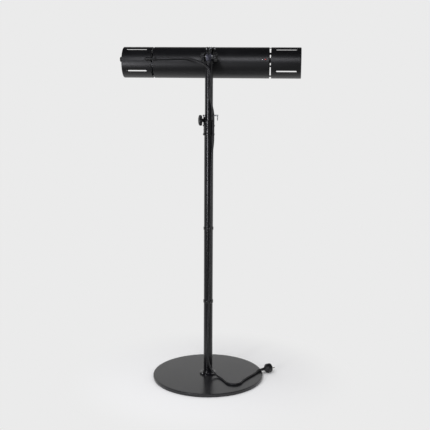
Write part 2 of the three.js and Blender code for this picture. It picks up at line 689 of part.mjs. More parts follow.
// ---------------------------------------------------------------- head: tilt tongue and saddle
// Places below here are in the head's own frame: X along the head, Y forward, Z up, from its axis.
const pivotInHead = [-HEAD_AXIS_FORWARD, pivotHeight - HEAD_AXIS_HEIGHT];
const saddleInside = headRadius + SEAT_GAP;
const saddleOutside = saddleInside + SADDLE_THICKNESS;
const boltReach = saddleOutside + SEAT_GAP + TONGUE_END_RADIUS;
const boltBehind = Math.sqrt(boltReach ** 2 - CROSS_BOLT_ABOVE_HEAD_AXIS ** 2);
const boltSpot = [-boltBehind, CROSS_BOLT_ABOVE_HEAD_AXIS];
const crossRadius = CROSS_BOLT_DIAMETER / 2;
const boltBore = alongX(bar(crossRadius + SEAT_GAP, -40, 40)).translate(0, ...boltSpot);
const pivotBoreInHead = alongX(bar(tiltBoltRadius + SEAT_GAP, -40, 40))
  .translate(0, ...pivotInHead);

const tongueHalf = TONGUE_WIDTH / 2;
const tongueOutline = capsule(pivotInHead, TONGUE_PIVOT_RADIUS, boltSpot, TONGUE_END_RADIUS);
const tongueHeading = Math.atan2(boltSpot[1] - pivotInHead[1], boltSpot[0] - pivotInHead[0]);
const lift = (spot, radius) => [
  spot[0] - Math.sin(tongueHeading) * (radius + TONGUE_CHANNEL_FLOOR),
  spot[1] + Math.cos(tongueHeading) * (radius + TONGUE_CHANNEL_FLOOR),
];
const channel = capsule(
  lift(pivotInHead, TONGUE_PIVOT_RADIUS), 2 * TONGUE_PIVOT_RADIUS,
  lift(boltSpot, TONGUE_END_RADIUS), 2 * TONGUE_END_RADIUS,
);
const channelHalf = tongueHalf - TONGUE_PLATE;
piece(headGroup, "tilt_tongue", cut(
  pullAlongX(tongueOutline, -tongueHalf, tongueHalf),
  pullAlongX(channel, -channelHalf, channelHalf),
  boltBore,
  pivotBoreInHead,
), ZINC);

const boltAngle = Math.atan2(boltSpot[1], boltSpot[0]);
const saddleHalfAngle = THREE.MathUtils.degToRad(SADDLE_HALF_ANGLE);
const saddleArc = new THREE.Shape();
const [arcFrom, arcTo] = [boltAngle - saddleHalfAngle, boltAngle + saddleHalfAngle];
saddleArc.absarc(0, 0, saddleOutside, arcFrom, arcTo, false);
saddleArc.absarc(0, 0, saddleInside, arcTo, arcFrom, true);
saddleArc.closePath();
const earRoot = (angle) => {
  const reach = saddleOutside - SADDLE_THICKNESS / 2;
  return [reach * Math.cos(boltAngle + angle), reach * Math.sin(boltAngle + angle)];
};
const spread = THREE.MathUtils.degToRad(11);
const earShape = (angle) => capsule(earRoot(angle), 1.2, boltSpot, EAR_RADIUS);
const saddleParts = [
  pullAlongX(saddleArc, -SADDLE_WIDTH / 2, SADDLE_WIDTH / 2, { curveSegments: 5 }),
];
for (const side of [-1, 1]) {
  const near = side * EAR_INSIDE;
  const far = side * (EAR_INSIDE + EAR_THICKNESS);
  const [low, high] = [Math.min(near, far), Math.max(near, far)];
  for (const angle of [-spread, spread]) {
    saddleParts.push(pullAlongX(earShape(angle), low, high));
  }
  const spacerEnd = side * (tongueHalf + SEAT_GAP);
  const [from, to] = [Math.min(spacerEnd, far), Math.max(spacerEnd, far)];
  saddleParts.push(alongX(bar(SPACER_RADIUS, from, to)).translate(0, ...boltSpot));
}
// Only what lies outside the housing is kept, so the ears' feet follow its round.
const housingClear = alongX(bar(saddleInside, -40, 40, HEAD_SIDES));
piece(headGroup, "head_saddle", cut(join(...saddleParts), housingClear, boltBore), CAST_METAL);

const crossFace = EAR_INSIDE + EAR_THICKNESS + SEAT_GAP;
const crossHead = crossFace + CROSS_BOLT_HEAD_HEIGHT;
const crossBolt = join(
  hexBar(CROSS_BOLT_HEAD, -crossHead, -crossFace),
  bar(crossRadius, -crossFace - 1, crossHead + 0.5),
);
piece(headGroup, "cross_bolt", alongX(crossBolt).translate(0, ...boltSpot), ZINC);
const crossNut = cut(
  hexBar(CROSS_BOLT_HEAD, crossFace, crossHead),
  bar(crossRadius + SEAT_GAP, crossFace - 1, crossHead + 1),
);
piece(headGroup, "cross_nut", alongX(crossNut).translate(0, ...boltSpot), ZINC);

// ---------------------------------------------------------------- head: housing and end caps
const windowHalf = WINDOW_HEIGHT / 2;
const windowEdgeForward = Math.sqrt(headBore ** 2 - windowHalf ** 2);
const housingTube = alongX(sleeve(headBore, headRadius, -housingEnd, housingEnd, HEAD_SIDES));
const frontWindow = block(
  [-windowLength / 2, windowEdgeForward - 2, -windowHalf],
  [windowLength / 2, headRadius + 1, windowHalf],
);
piece(headGroup, "housing", cut(housingTube, frontWindow), BLACK_PAINT);

const ductBackFace = -DUCT_BACK;
const ductFrontFace = ductBackFace + DUCT_DEPTH;
const ductReach = capInnerEnd + DUCT_IN_CAP;
const duct = cut(
  block([-ductReach, ductBackFace, 0], [ductReach, ductFrontFace, DUCT_HEIGHT]),
  block(
    [-ductReach - 1, ductBackFace + DUCT_WALL, DUCT_WALL],
    [ductReach + 1, ductFrontFace - DUCT_WALL, DUCT_HEIGHT - DUCT_WALL],
  ),
);
piece(headGroup, "wire_duct", duct, ZINC);

const slotMiddle = capInnerEnd + CAP_LENGTH / 2;
const slotRun = CAP_LENGTH - 2 * SLOT_FROM_CAP_ENDS;
const slotLength = Math.min(SLOT_LENGTH, slotRun);
/** A cutter for one round-ended slot, through the cap's wall at an angle above the horizontal. */
function slotCutter(degrees) {
  const half = slotLength / 2 - SLOT_WIDTH / 2;
  const outline = capsule([-half, 0], SLOT_WIDTH / 2, [half, 0], SLOT_WIDTH / 2, 4);
  const cutter = pull(outline, headRadius - 12, headRadius + 4);
  return cutter.rotateX(THREE.MathUtils.degToRad(degrees - 90)).translate(slotMiddle, 0, 0);
}
const slotAngles = [UPPER_SLOT_ANGLE, 180 - UPPER_SLOT_ANGLE, -LOWER_SLOT_ANGLE,
  180 + LOWER_SLOT_ANGLE];
const capSection = [
  [headBore, capInnerEnd],
  [headRadius, capInnerEnd],
];
for (const turn of [0, 45, 90]) {
  const angle = THREE.MathUtils.degToRad(turn);
  capSection.push([
    headRadius - CAP_CORNER_RADIUS + CAP_CORNER_RADIUS * Math.cos(angle),
    headHalf - CAP_CORNER_RADIUS + CAP_CORNER_RADIUS * Math.sin(angle),
  ]);
}
capSection.push([0, headHalf], [0, headHalf - CAP_END_WALL]);
capSection.push([headBore, headHalf - CAP_END_WALL]);
const plainCap = new THREE.LatheGeometry(
  [...capSection, capSection[0]].map(([r, h]) => new THREE.Vector2(r, h)), HEAD_SIDES,
).rotateX(Math.PI / 2);
const slottedCap = cut(alongX(plainCap), ...slotAngles.map(slotCutter));
piece(headGroup, "end_cap_right", slottedCap.clone(), BLACK_PAINT);

const glandX = -(capInnerEnd + GLAND_FROM_CAP_INNER_END);
const glandBack = Math.sqrt(headRadius ** 2 - GLAND_ABOVE_HEAD_AXIS ** 2);
const glandHole = bar(GLAND_RADIUS + SEAT_GAP, -20, 20).rotateX(Math.PI / 2)
  .translate(glandX, -glandBack, GLAND_ABOVE_HEAD_AXIS);
const controlShaftHole = alongX(bar(CONTROL_SHAFT_DIAMETER / 2 + SEAT_GAP, -headHalf - 1,
  -headHalf + CAP_END_WALL + 1)).translate(0, 0, CONTROL_ABOVE_HEAD_AXIS);
const leftCap = slottedCap.clone().rotateZ(Math.PI);
const leftCapCut = cut(leftCap, glandHole, controlShaftHole);
piece(headGroup, "end_cap_left", leftCapCut, BLACK_PAINT);

// Each spacer ring is two sleeves held apart by bridges, so air and light pass the ring gap.
const spacerOutside = headBore - SEAT_GAP;
const spacerInside = spacerOutside - SPACER_WALL;
const spacerStart = housingEnd - SPACER_SLEEVE;
const spacerEnd = capInnerEnd + SPACER_SLEEVE;
const spacerRing = sleeve(spacerInside, spacerOutside, spacerStart, spacerEnd, HEAD_SIDES);
const openRing = sleeve(spacerInside - 2, spacerOutside + 2, housingEnd, capInnerEnd, HEAD_SIDES);
const bridges = [];
for (let i = 0; i < BRIDGE_COUNT; i++) {
  const angle = (2 * Math.PI * i) / BRIDGE_COUNT;
  const reach = spacerOutside * Math.cos(Math.asin(BRIDGE_WIDTH / 2 / spacerOutside)) - 0.2;
  const bridge = block(
    [spacerStart + 1, -BRIDGE_WIDTH / 2, spacerInside - 0.3],
    [spacerEnd - 1, BRIDGE_WIDTH / 2, reach],
  );
  bridges.push(bridge.rotateX(angle));
}
const spacer = join(cut(alongX(spacerRing), alongX(openRing)), ...bridges);
piece(headGroup, "spacer_ring_right", spacer.clone(), BLACK_PLASTIC);
piece(headGroup, "spacer_ring_left", spacer.clone().rotateY(Math.PI), BLACK_PLASTIC);

// ---------------------------------------------------------------- head: heating parts
const ductClearance = block(
  [-housingEnd, ductBackFace - SEAT_GAP, -SEAT_GAP],
  [housingEnd, ductFrontFace + SEAT_GAP, DUCT_HEIGHT + SEAT_GAP],
);
const bulkheadOuter = bulkheadInner + BULKHEAD_THICKNESS;
const lampHalf = bulkheadInner - SEAT_GAP - HOLDER_LENGTH + LAMP_IN_HOLDER;
const holderFace = bulkheadInner - SEAT_GAP;
const wireHole = alongX(bar(2.5, bulkheadInner - 1, bulkheadOuter + 1, 8))
  .translate(0, LAMP_FORWARD, 0);
const bulkhead = cut(
  alongX(bar(spacerOutside, bulkheadInner, bulkheadOuter, HEAD_SIDES)),
  ductClearance,
  wireHole,
);
piece(headGroup, "bulkhead_right", bulkhead.clone(), ZINC);
const bulkheadLeft = cut(
  alongX(bar(spacerOutside, -bulkheadOuter, -bulkheadInner, HEAD_SIDES)),
  ductClearance,
  wireHole.clone().rotateY(Math.PI),
);
piece(headGroup, "bulkhead_left", bulkheadLeft, ZINC);

const reflectorHalfHeight = windowHalf - REFLECTOR_THICKNESS - SEAT_GAP;
const reflectorSteps = 10;
const reflectorOutline = [];
const curveAt = (z) => {
  const share = z / reflectorHalfHeight;
  return REFLECTOR_VERTEX_FORWARD + REFLECTOR_DEPTH * share * share;
};
/** The reflector's section at a height, moved out square to the curve. */
function reflectorCorner(z, out) {
  const slope = (2 * REFLECTOR_DEPTH * z) / reflectorHalfHeight ** 2;
  const scale = out / Math.hypot(1, slope);
  return new THREE.Vector2(curveAt(z) - scale, z + slope * scale);
}
for (let i = 0; i <= reflectorSteps; i++) {
  const z = reflectorHalfHeight * ((2 * i) / reflectorSteps - 1);
  reflectorOutline.push(reflectorCorner(z, 0));
}
for (let i = reflectorSteps; i >= 0; i--) {
  const z = reflectorHalfHeight * ((2 * i) / reflectorSteps - 1);
  reflectorOutline.push(reflectorCorner(z, REFLECTOR_THICKNESS));
}
const reflectorHalf = bulkheadInner - SEAT_GAP;
piece(headGroup, "reflector", pullAlongX(
  new THREE.Shape(reflectorOutline), -reflectorHalf, reflectorHalf,
), MIRROR);

const lampRadius = LAMP_DIAMETER / 2;
const lampGlass = alongX(sleeve(lampRadius - LAMP_GLASS, lampRadius, -lampHalf, lampHalf, 20));
piece(headGroup, "lamp_tube", lampGlass.translate(0, LAMP_FORWARD, 0), QUARTZ);
const holderBlock = cut(
  bar(HOLDER_DIAMETER / 2, holderFace - HOLDER_LENGTH, holderFace, 20),
  bar(lampRadius + SEAT_GAP, holderFace - HOLDER_LENGTH - 1, lampHalf + SEAT_GAP, 20),
  bar(FILAMENT_DIAMETER / 2 + SEAT_GAP, lampHalf, holderFace - 2, 8),
);
const holder = alongX(holderBlock).translate(0, LAMP_FORWARD, 0);
piece(headGroup, "lamp_holder_right", holder.clone(), CERAMIC);
const holderLeft = holder.clone().translate(0, -LAMP_FORWARD, 0).rotateZ(Math.PI)
  .translate(0, LAMP_FORWARD, 0);
piece(headGroup, "lamp_holder_left", holderLeft, CERAMIC);
const filamentHalf = holderFace - 2 - SEAT_GAP;
const filament = alongX(bar(FILAMENT_DIAMETER / 2, -filamentHalf, filamentHalf, 8));
piece(headGroup, "filament", filament.translate(0, LAMP_FORWARD, 0), TUNGSTEN);

// The guard: arched wires across the window, welded to two long rods behind its edges.
const guardReach = headBore - SEAT_GAP - GUARD_ROD / 2;
const guardHalfAngle = Math.asin((windowHalf + 2.2) / guardReach);
const guardRodHalf = windowLength / 2 + 8;
const guardParts = [-guardHalfAngle, 0, guardHalfAngle].map((angle) => {
  const rod = alongX(bar(GUARD_ROD / 2, -guardRodHalf, guardRodHalf, 6));
  return rod.translate(0, guardReach * Math.cos(angle), guardReach * Math.sin(angle));
});
const archSpacing = windowLength / (GUARD_ARCH_COUNT + 1);
for (let i = 0; i < GUARD_ARCH_COUNT; i++) {
  const x = archSpacing * (i + 1) - windowLength / 2;
  const span = 2 * guardHalfAngle;
  const spots = [];
  const steps = 5;
  for (let k = 0; k <= steps; k++) {
    const angle = -guardHalfAngle + (span * k) / steps;
    spots.push([x, guardReach * Math.cos(angle), guardReach * Math.sin(angle)]);
  }
  guardParts.push(tubeAlong(spots, GUARD_WIRE / 2, WIRE_SIDES, steps));
}
piece(headGroup, "guard", join(...guardParts), STEEL);

// ---------------------------------------------------------------- head: electrical parts
const switchFace = -headHalf + CAP_END_WALL + SEAT_GAP;
const switchHalf = SWITCH_SIZE / 2;
const shaftRadius = CONTROL_SHAFT_DIAMETER / 2;
const rotarySwitch = join(
  block(
    [switchFace, -switchHalf, CONTROL_ABOVE_HEAD_AXIS - switchHalf],
    [switchFace + SWITCH_DEPTH, switchHalf, CONTROL_ABOVE_HEAD_AXIS + switchHalf],
  ),
  alongX(bar(shaftRadius, -headHalf - 12, switchFace + 1))
    .translate(0, 0, CONTROL_ABOVE_HEAD_AXIS),
);
piece(headGroup, "rotary_switch", rotarySwitch, BLACK_PLASTIC);

const controlRadius = CONTROL_KNOB_DIAMETER / 2;
const controlBody = revolve([
  [0, 0],
  [controlRadius, 0],
  [controlRadius, 3],
  [controlRadius - 1.5, 5],
  [controlRadius - 2.5, CONTROL_KNOB_LENGTH],
  [0, CONTROL_KNOB_LENGTH],
], 24);
const controlKnob = cut(
  controlBody,
  bar(shaftRadius + SEAT_GAP, -1, 12.5),
  block([-1, 3, CONTROL_KNOB_LENGTH - 1], [1, controlRadius, CONTROL_KNOB_LENGTH + 1]),
).translate(0, 0, headHalf + SEAT_GAP);
piece(headGroup, "control_knob", alongX(controlKnob).rotateZ(Math.PI)
  .translate(0, 0, CONTROL_ABOVE_HEAD_AXIS), BLACK_PLASTIC);

const terminalX = -(capInnerEnd + DUCT_IN_CAP + 6);
const terminalBack = ductFrontFace + 6;
const terminal = block(
  [terminalX - TERMINAL_LENGTH, terminalBack, 0],
  [terminalX, terminalBack + TERMINAL_DEPTH, TERMINAL_HEIGHT],
);
// Two rails carry the terminal block on the cap's end, clear of the slots' sight lines.
const railThickness = 2;
const railReach = [switchFace, terminalX];
const rail = block(
  [railReach[0], terminalBack, -railThickness],
  [railReach[1], terminalBack + TERMINAL_DEPTH, 0.5],
);
piece(headGroup, "terminal_block", join(terminal, rail), CERAMIC);

const glandMiddle = -glandBack - GLAND_STANDOFF;
const glandInside = -(glandBack - 8);
const stem = bar(GLAND_RADIUS, glandMiddle, glandInside).rotateX(-Math.PI / 2)
  .translate(glandX, 0, GLAND_ABOVE_HEAD_AXIS);
const elbow = new THREE.SphereGeometry(GLAND_RADIUS, 16, 8);
const nose = alongX(revolve([
  [0, 0],
  [GLAND_RADIUS, 0],
  [GLAND_RADIUS - 1, GLAND_NOSE_LENGTH],
  [0, GLAND_NOSE_LENGTH],
], BOLT_SIDES));
for (const shape of [elbow, nose]) {
  shape.translate(glandX, glandMiddle, GLAND_ABOVE_HEAD_AXIS);
}
piece(headGroup, "cord_gland", join(stem, elbow, nose), BLACK_PLASTIC);

// ---------------------------------------------------------------- supply lead
// The lead's line is in the heater's frame. Its stretches meet end to end with a small gap.
const leadStart = glandX + GLAND_NOSE_LENGTH + SEAT_GAP;
const leadBack = HEAD_AXIS_FORWARD + glandMiddle;
const leadHeight = HEAD_AXIS_HEIGHT + GLAND_ABOVE_HEAD_AXIS;
/** Makes one stretch of the lead. */
function lead(name, points, steps) {
  piece(heater, name, tubeAlong(points, leadRadius, LEAD_SIDES, steps), LEAD_RUBBER);
}
// Beside the bracket the head's stretch hands over to the mast's stretch.
const handOver = new THREE.Vector3(-52, 9.8, forkFoot - 1.3);
const handOverHeading = new THREE.Vector3(0.8, -0.54, -0.27).normalize();
/** A point on the lead's straight run through the hand-over, forward or back from it. */
const nearHandOver = (distance) =>
  handOver.clone().addScaledVector(handOverHeading, distance).toArray();
lead("lead_head", [
  [leadStart, leadBack, leadHeight],
  [leadStart + 16, leadBack, leadHeight],
  [-198, leadBack, leadHeight + 1.6],
  [-142, leadBack - 0.4, leadHeight + 3.2],
  [-112, leadBack - 2, leadHeight + 3],
  [-94, leadBack - 7, leadHeight + 1.2],
  [-79, leadBack - 14, leadHeight - 1.8],
  nearHandOver(-14),
  nearHandOver(0),
], 15);

const leadGap = leadRadius + 0.6; // of the lead's middle from what it runs along
const alongUpper = upperTubeRadius + leadGap; // from the post's axis
const pastCollar = bandRadius + leadGap;
const alongLower = lowerTubeRadius + leadGap;
/** A point of the lead on the back of the post, from its place sideways. */
const behind = (x, reach, height) => [x, -Math.sqrt(reach ** 2 - x ** 2), height];
const lowerSplit = collarBottom - 10;
lead("lead_mast", [
  nearHandOver(SEAT_GAP),
  nearHandOver(12),
  [-32, -3.6, UPPER_TUBE_TOP + 3.3],
  [-22, -12, UPPER_TUBE_TOP - 1.6],
  [-12.6, -20.2, UPPER_TUBE_TOP - 7.2],
  [-4.6, -26.8, UPPER_TUBE_TOP - 14.2],
  [1.8, -30.6, UPPER_TUBE_TOP - 22.8],
  [6.2, -31.4, UPPER_TUBE_TOP - 33],
  [8.6, -29.6, UPPER_TUBE_TOP - 44.5],
  [9.6, -26.4, UPPER_TUBE_TOP - 58],
  [9.7, -23.2, UPPER_TUBE_TOP - 74],
  behind(8.8, alongUpper, UPPER_TUBE_TOP - 93),
  behind(7.2, alongUpper, UPPER_TUBE_TOP - 114),
  behind(7.4, alongUpper + 0.3, collarTop + 106),
  behind(10.6, alongUpper + 1.6, collarTop + 84),
  behind(15.4, alongUpper + 4.2, collarTop + 62),
  behind(19.8, pastCollar - 1.4, collarTop + 41),
  behind(22, pastCollar, collarTop + 21),
  behind(22.4, pastCollar, collarTop),
  behind(22.2, pastCollar, (collarTop + collarBottom) / 2),
  behind(22, pastCollar, lowerSplit + 14),
  behind(22, pastCollar, lowerSplit),
], 32);

const footSplit = 134;
const clipSpots = [[11.2, CLIP_HEIGHTS[0]], [6, CLIP_HEIGHTS[1]]];
lead("lead_post", [
  behind(22, pastCollar, lowerSplit - SEAT_GAP),
  behind(21.7, pastCollar, lowerSplit - 14),
  behind(19.8, alongLower + 2.8, lowerSplit - 34),
  behind(17.2, alongLower + 0.7, lowerSplit - 58),
  behind(15.3, alongLower, lowerSplit - 90),
  behind(12.9, alongLower, lowerSplit - 180),
  behind(11.6, alongLower, 792),
  behind(clipSpots[0][0], alongLower, clipSpots[0][1]),
  behind(8.4, alongLower, 485),
  behind(clipSpots[1][0], alongLower, clipSpots[1][1]),
  behind(2, alongLower, 230),
  behind(0, alongLower, footSplit + 14),
  behind(0, alongLower, footSplit),
], 30);

const onPlate = plateTop + leadRadius + SEAT_GAP;
const plugTurn = THREE.MathUtils.degToRad(PLUG_AZIMUTH);
const plugHeading = [Math.cos(plugTurn), Math.sin(plugTurn)];
const plugStart = [243, 52.6, PLUG_DIAMETER / 2 + 0.2];
const beforePlug = (distance) => [
  plugStart[0] - distance * plugHeading[0],
  plugStart[1] - distance * plugHeading[1],
  plugStart[2],
];
/** Points on a level bend of the lead, between two headings in degrees from its centre. */
function levelBend([x, y], radius, from, to, count) {
  return Array.from({ length: count }, (_, i) => {
    const angle = THREE.MathUtils.degToRad(from + ((to - from) * i) / (count - 1));
    return [x + radius * Math.cos(angle), y + radius * Math.sin(angle), onPlate];
  });
}
lead("lead_floor", [
  behind(0, alongLower, footSplit - SEAT_GAP),
  behind(0.3, alongLower, footSplit - 16),
  [1.6, -25.4, footSplit - 36],
  [5.2, -26.2, footSplit - 57],
  [12, -28, onPlate + 37],
  [22, -32, onPlate + 20],
  [34.5, -38.5, onPlate + 8.2],
  [48, -48, onPlate + 1.8],
  [61, -60, onPlate],
  [72, -73, onPlate],
  [86, -92.5, onPlate],
  ...levelBend([126, -105], 29, 208, 338, 7),
  [163, -90, onPlate],
  [180, -57, onPlate],
  [205, -12, onPlate],
  [222, 22, onPlate + 0.3],
  beforePlug(14),
  beforePlug(SEAT_GAP),
], 46);

clipSpots.forEach(([x, height], i) => {
  const [, y] = behind(x, alongLower, height);
  const low = height - CLIP_WIDTH / 2;
  const high = height + CLIP_WIDTH / 2;
  const round = bar(lowerTubeRadius + SEAT_GAP + CLIP_WALL, low, high, 24);
  const cradle = bar(leadRadius + CLIP_WALL + 0.5, low, high).translate(x, y, 0);
  const clip = cut(
    join(round, cradle),
    bar(lowerTubeRadius + SEAT_GAP, low - 1, high + 1, POST_SIDES),
    bar(leadRadius + 0.5, low - 1, high + 1).translate(x, y, 0),
  );
  piece(heater, i ? "lead_clip_lower" : "lead_clip_upper", clip, BLACK_PLASTIC);
});

// The plug lies on the floor beyond the base, its pins away from the lead.
const plugRadius = PLUG_DIAMETER / 2;
const neckRadius = PLUG_NECK_DIAMETER / 2;
const plugBody = revolve([
  [0, 0],
  [neckRadius, 0],
  [neckRadius + 0.8, 9],
  [neckRadius + 3, 18],
  [neckRadius + 7, 25],
  [plugRadius, 30.5],
  [plugRadius, PLUG_LENGTH],
  [0, PLUG_LENGTH],
], 24);
const pinSeats = [-1, 1].map((side) =>
  bar(PLUG_PIN_DIAMETER / 2 + SEAT_GAP, PLUG_LENGTH - 8, PLUG_LENGTH + 1, 12)
    .translate(0, (side * PLUG_PIN_SPACING) / 2, 0),
);
/** Puts what was made along +Z along the plug's heading, from where the lead enters it. */
function alongPlug(geometry) {
  return alongX(geometry).rotateZ(plugTurn).translate(...plugStart);
}
piece(heater, "plug_body", alongPlug(cut(plugBody, ...pinSeats)), LEAD_RUBBER);
for (const [name, side] of [["left", 1], ["right", -1]]) {
  const plugPin = revolve([
    [0, PLUG_LENGTH - 8 + SEAT_GAP],
    [PLUG_PIN_DIAMETER / 2, PLUG_LENGTH - 8 + SEAT_GAP],
    [PLUG_PIN_DIAMETER / 2, PLUG_LENGTH + PLUG_PIN_LENGTH - 1.2],
    [PLUG_PIN_DIAMETER / 2 - 1, PLUG_LENGTH + PLUG_PIN_LENGTH],
    [0, PLUG_LENGTH + PLUG_PIN_LENGTH],
  ], 12).translate(0, (side * PLUG_PIN_SPACING) / 2, 0);
  piece(heater, "plug_pin_" + name, alongPlug(plugPin), BRASS);
}

export default heater;
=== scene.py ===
"""Looks of a free-standing infrared patio heater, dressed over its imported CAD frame.

Every form is made in millimetres in the CAD's own frame and becomes a mesh in metres at the
origin: +Z up, +Y the side that the heater warms, -Y its back, X along the heating head.
"""

import logging
import math
from collections.abc import Sequence
from dataclasses import dataclass, field
from enum import Enum

import bmesh
import bpy
from mathutils import Matrix, Vector


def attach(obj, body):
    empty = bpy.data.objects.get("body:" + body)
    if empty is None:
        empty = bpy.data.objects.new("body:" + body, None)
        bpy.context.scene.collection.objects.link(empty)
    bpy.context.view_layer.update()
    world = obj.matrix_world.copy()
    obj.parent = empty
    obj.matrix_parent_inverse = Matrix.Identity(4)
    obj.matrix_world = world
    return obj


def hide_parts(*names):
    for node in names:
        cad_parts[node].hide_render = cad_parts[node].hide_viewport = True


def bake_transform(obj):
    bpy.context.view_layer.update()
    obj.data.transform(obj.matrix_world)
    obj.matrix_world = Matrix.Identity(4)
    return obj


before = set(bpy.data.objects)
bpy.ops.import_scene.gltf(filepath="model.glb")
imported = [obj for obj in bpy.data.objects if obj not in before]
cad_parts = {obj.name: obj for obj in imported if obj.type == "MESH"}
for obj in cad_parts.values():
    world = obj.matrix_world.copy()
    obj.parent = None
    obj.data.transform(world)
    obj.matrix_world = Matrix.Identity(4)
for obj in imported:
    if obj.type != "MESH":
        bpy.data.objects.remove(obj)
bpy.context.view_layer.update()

LOG = logging.getLogger("heater")
MM = 0.001
SEAT_GAP = 0.3

Point = tuple[float, float, float]
Corner = tuple[float, float]


# ---------------------------------------------------------------- nodes and colours
def linear(colour: str) -> tuple[float, float, float, float]:
    """Turns an sRGB colour such as "#1b1b1e" into linear RGBA.

    Args:
        colour: The colour as a hash sign and six hex digits.

    Returns:
        Red, green, blue and an alpha of 1.
    """
    parts = [int(colour[i:i + 2], 16) / 255 for i in (1, 3, 5)]
    red, green, blue = (
        part / 12.92 if part <= 0.04045 else ((part + 0.055) / 1.055) ** 2.4 for part in parts
    )
    return red, green, blue, 1.0


def add_node(tree: bpy.types.NodeTree, kind: str, inputs: dict | None = None,
             **settings: object) -> bpy.types.Node:
    """Adds a node with its settings, values and links.

    Args:
        tree: The tree that gets the node.
        kind: The node's type name.
        inputs: For a socket's name or number, its value or the output that feeds it.
        settings: The node's own properties.

    Returns:
        The new node.
    """
    node = tree.nodes.new(kind)
    for key, value in settings.items():
        setattr(node, key, value)
    for key, value in (inputs or {}).items():
        if isinstance(value, bpy.types.NodeSocket):
            tree.links.new(value, node.inputs[key])
        else:
            node.inputs[key].default_value = value
    return node


# ---------------------------------------------------------------- finishes
class Grain(Enum):
    """How the fine pattern of a surface runs."""

    EVEN = (1.0, 1.0, 1.0)
    ALONG_X = (0.02, 1.0, 1.0)


@dataclass(frozen=True)
class Finish:
    """A surface of one real material, with its fine relief, its tint and its uneven gloss."""

    name: str
    colour: str
    tint: str
    gloss: tuple[float, float]
    grain_mm: float
    relief_mm: float
    patch_mm: float = 60.0
    grain: Grain = Grain.EVEN
    metallic: float = 0.0
    ior: float = 1.5
    transmission: float = 0.0

    def material(self) -> bpy.types.Material:
        """Gives this finish's material, which is made the first time."""
        made = bpy.data.materials.get(self.name)
        return made if made else self._build()

    def _build(self) -> bpy.types.Material:
        """Builds the material's nodes.

        Returns:
            The new material.
        """
        material = bpy.data.materials.new(self.name)
        material.use_nodes = True
        tree = material.node_tree
        shader = tree.nodes["Principled BSDF"]
        shader.inputs["Metallic"].default_value = self.metallic
        shader.inputs["Transmission Weight"].default_value = self.transmission
        if not self.metallic:
            shader.inputs["IOR"].default_value = self.ior
        where = add_node(tree, "ShaderNodeTexCoord").outputs["Object"]
        laid = add_node(tree, "ShaderNodeMapping", {"Vector": where, "Scale": self.grain.value})
        fine = add_node(tree, "ShaderNodeTexNoise", {
            "Vector": laid.outputs["Vector"], "Scale": 1 / (self.grain_mm * MM), "Detail": 3.0,
            "Roughness": 0.55})
        broad = add_node(tree, "ShaderNodeTexNoise", {
            "Vector": where, "Scale": 1 / (self.patch_mm * MM), "Detail": 2.0})
        shade = add_node(tree, "ShaderNodeMapRange", {
            "Value": broad.outputs["Fac"], "From Min": 0.35, "From Max": 0.65})
        # Several sockets share a name on this node, so its two colours are set by number.
        mixed = add_node(tree, "ShaderNodeMix", {
            "Factor": shade.outputs["Result"], 6: linear(self.colour), 7: linear(self.tint)},
            data_type="RGBA")
        tree.links.new(mixed.outputs[2], shader.inputs["Base Color"])
        low, high = self.gloss
        rough = add_node(tree, "ShaderNodeMapRange", {
            "Value": fine.outputs["Fac"], "From Min": 0.3, "From Max": 0.7,
            "To Min": low, "To Max": high})
        tree.links.new(rough.outputs["Result"], shader.inputs["Roughness"])
        relief = add_node(tree, "ShaderNodeBump", {
            "Height": fine.outputs["Fac"], "Distance": self.relief_mm * MM, "Strength": 1.0})
        tree.links.new(relief.outputs["Normal"], shader.inputs["Normal"])
        return material


# Stove enamel sprayed on steel sheet: satin black, with a faint orange peel that softens glints.
HEAD_ENAMEL = Finish("satin_black_stove_enamel", "#09090c", "#0d0d10", (0.36, 0.42), 1.8, 0.004)
# The same enamel on drawn tube, a little glossier, so the post carries long narrow highlights.
POST_ENAMEL = Finish("black_enamelled_steel_tube", "#0a0a0d", "#0f0e13", (0.22, 0.29), 1.5, 0.004)
# Textured powder coat on thick plate: a fine pimpled skin, dark grey, that blurs what it mirrors.
BASE_COAT = Finish("textured_grey_powder_coat", "#1c1c1e", "#212123", (0.22, 0.30), 0.9, 0.012,
                   patch_mm=90)
# Vulcanised rubber sheet: dead matt and slightly brownish black.
SHEET_RUBBER = Finish("vulcanised_rubber_sheet", "#111110", "#191817", (0.8, 0.95), 0.8, 0.06,
                      ior=1.52)
# Glass-filled nylon from a spark-eroded mould: an even fine grain and a low sheen.
MOULDED_NYLON = Finish("moulded_glass_filled_nylon", "#0c0c0e", "#111113", (0.34, 0.45), 0.7, 0.012,
                       patch_mm=25, ior=1.53)
# The same nylon from a polished mould, so the collar's ribs and band catch the light.
GLOSSY_NYLON = Finish("polished_moulded_nylon", "#0a0a0c", "#0e0e11", (0.19, 0.27), 0.8, 0.006,
                      patch_mm=25, ior=1.53)
# Aluminium pressure casting, dark passivated: a soft grey with a cloudy skin.
CAST_ALUMINIUM = Finish("pressure_cast_aluminium", "#42424a", "#393940", (0.36, 0.48), 0.8, 0.012,
                        patch_mm=9, metallic=1.0)
# Bright zinc plating on pressed steel: clear silver that goes cloudy in patches.
ZINC_PLATE = Finish("bright_zinc_plated_steel", "#c9cacb", "#b4b6ba", (0.22, 0.34), 1.2, 0.008,
                    patch_mm=7, metallic=1.0)
# Ground and polished steel of bolts and the shaft.
BRIGHT_STEEL = Finish("polished_steel", "#c2c2c3", "#b2b2b4", (0.16, 0.26), 0.6, 0.004,
                      patch_mm=12, metallic=1.0)
# Nickel plated drawn wire: bright, with hair lines along the draw.
GUARD_NICKEL = Finish("nickel_plated_wire", "#c4c2bd", "#aeaba5", (0.18, 0.30), 0.5, 0.004,
                      patch_mm=15, metallic=1.0)
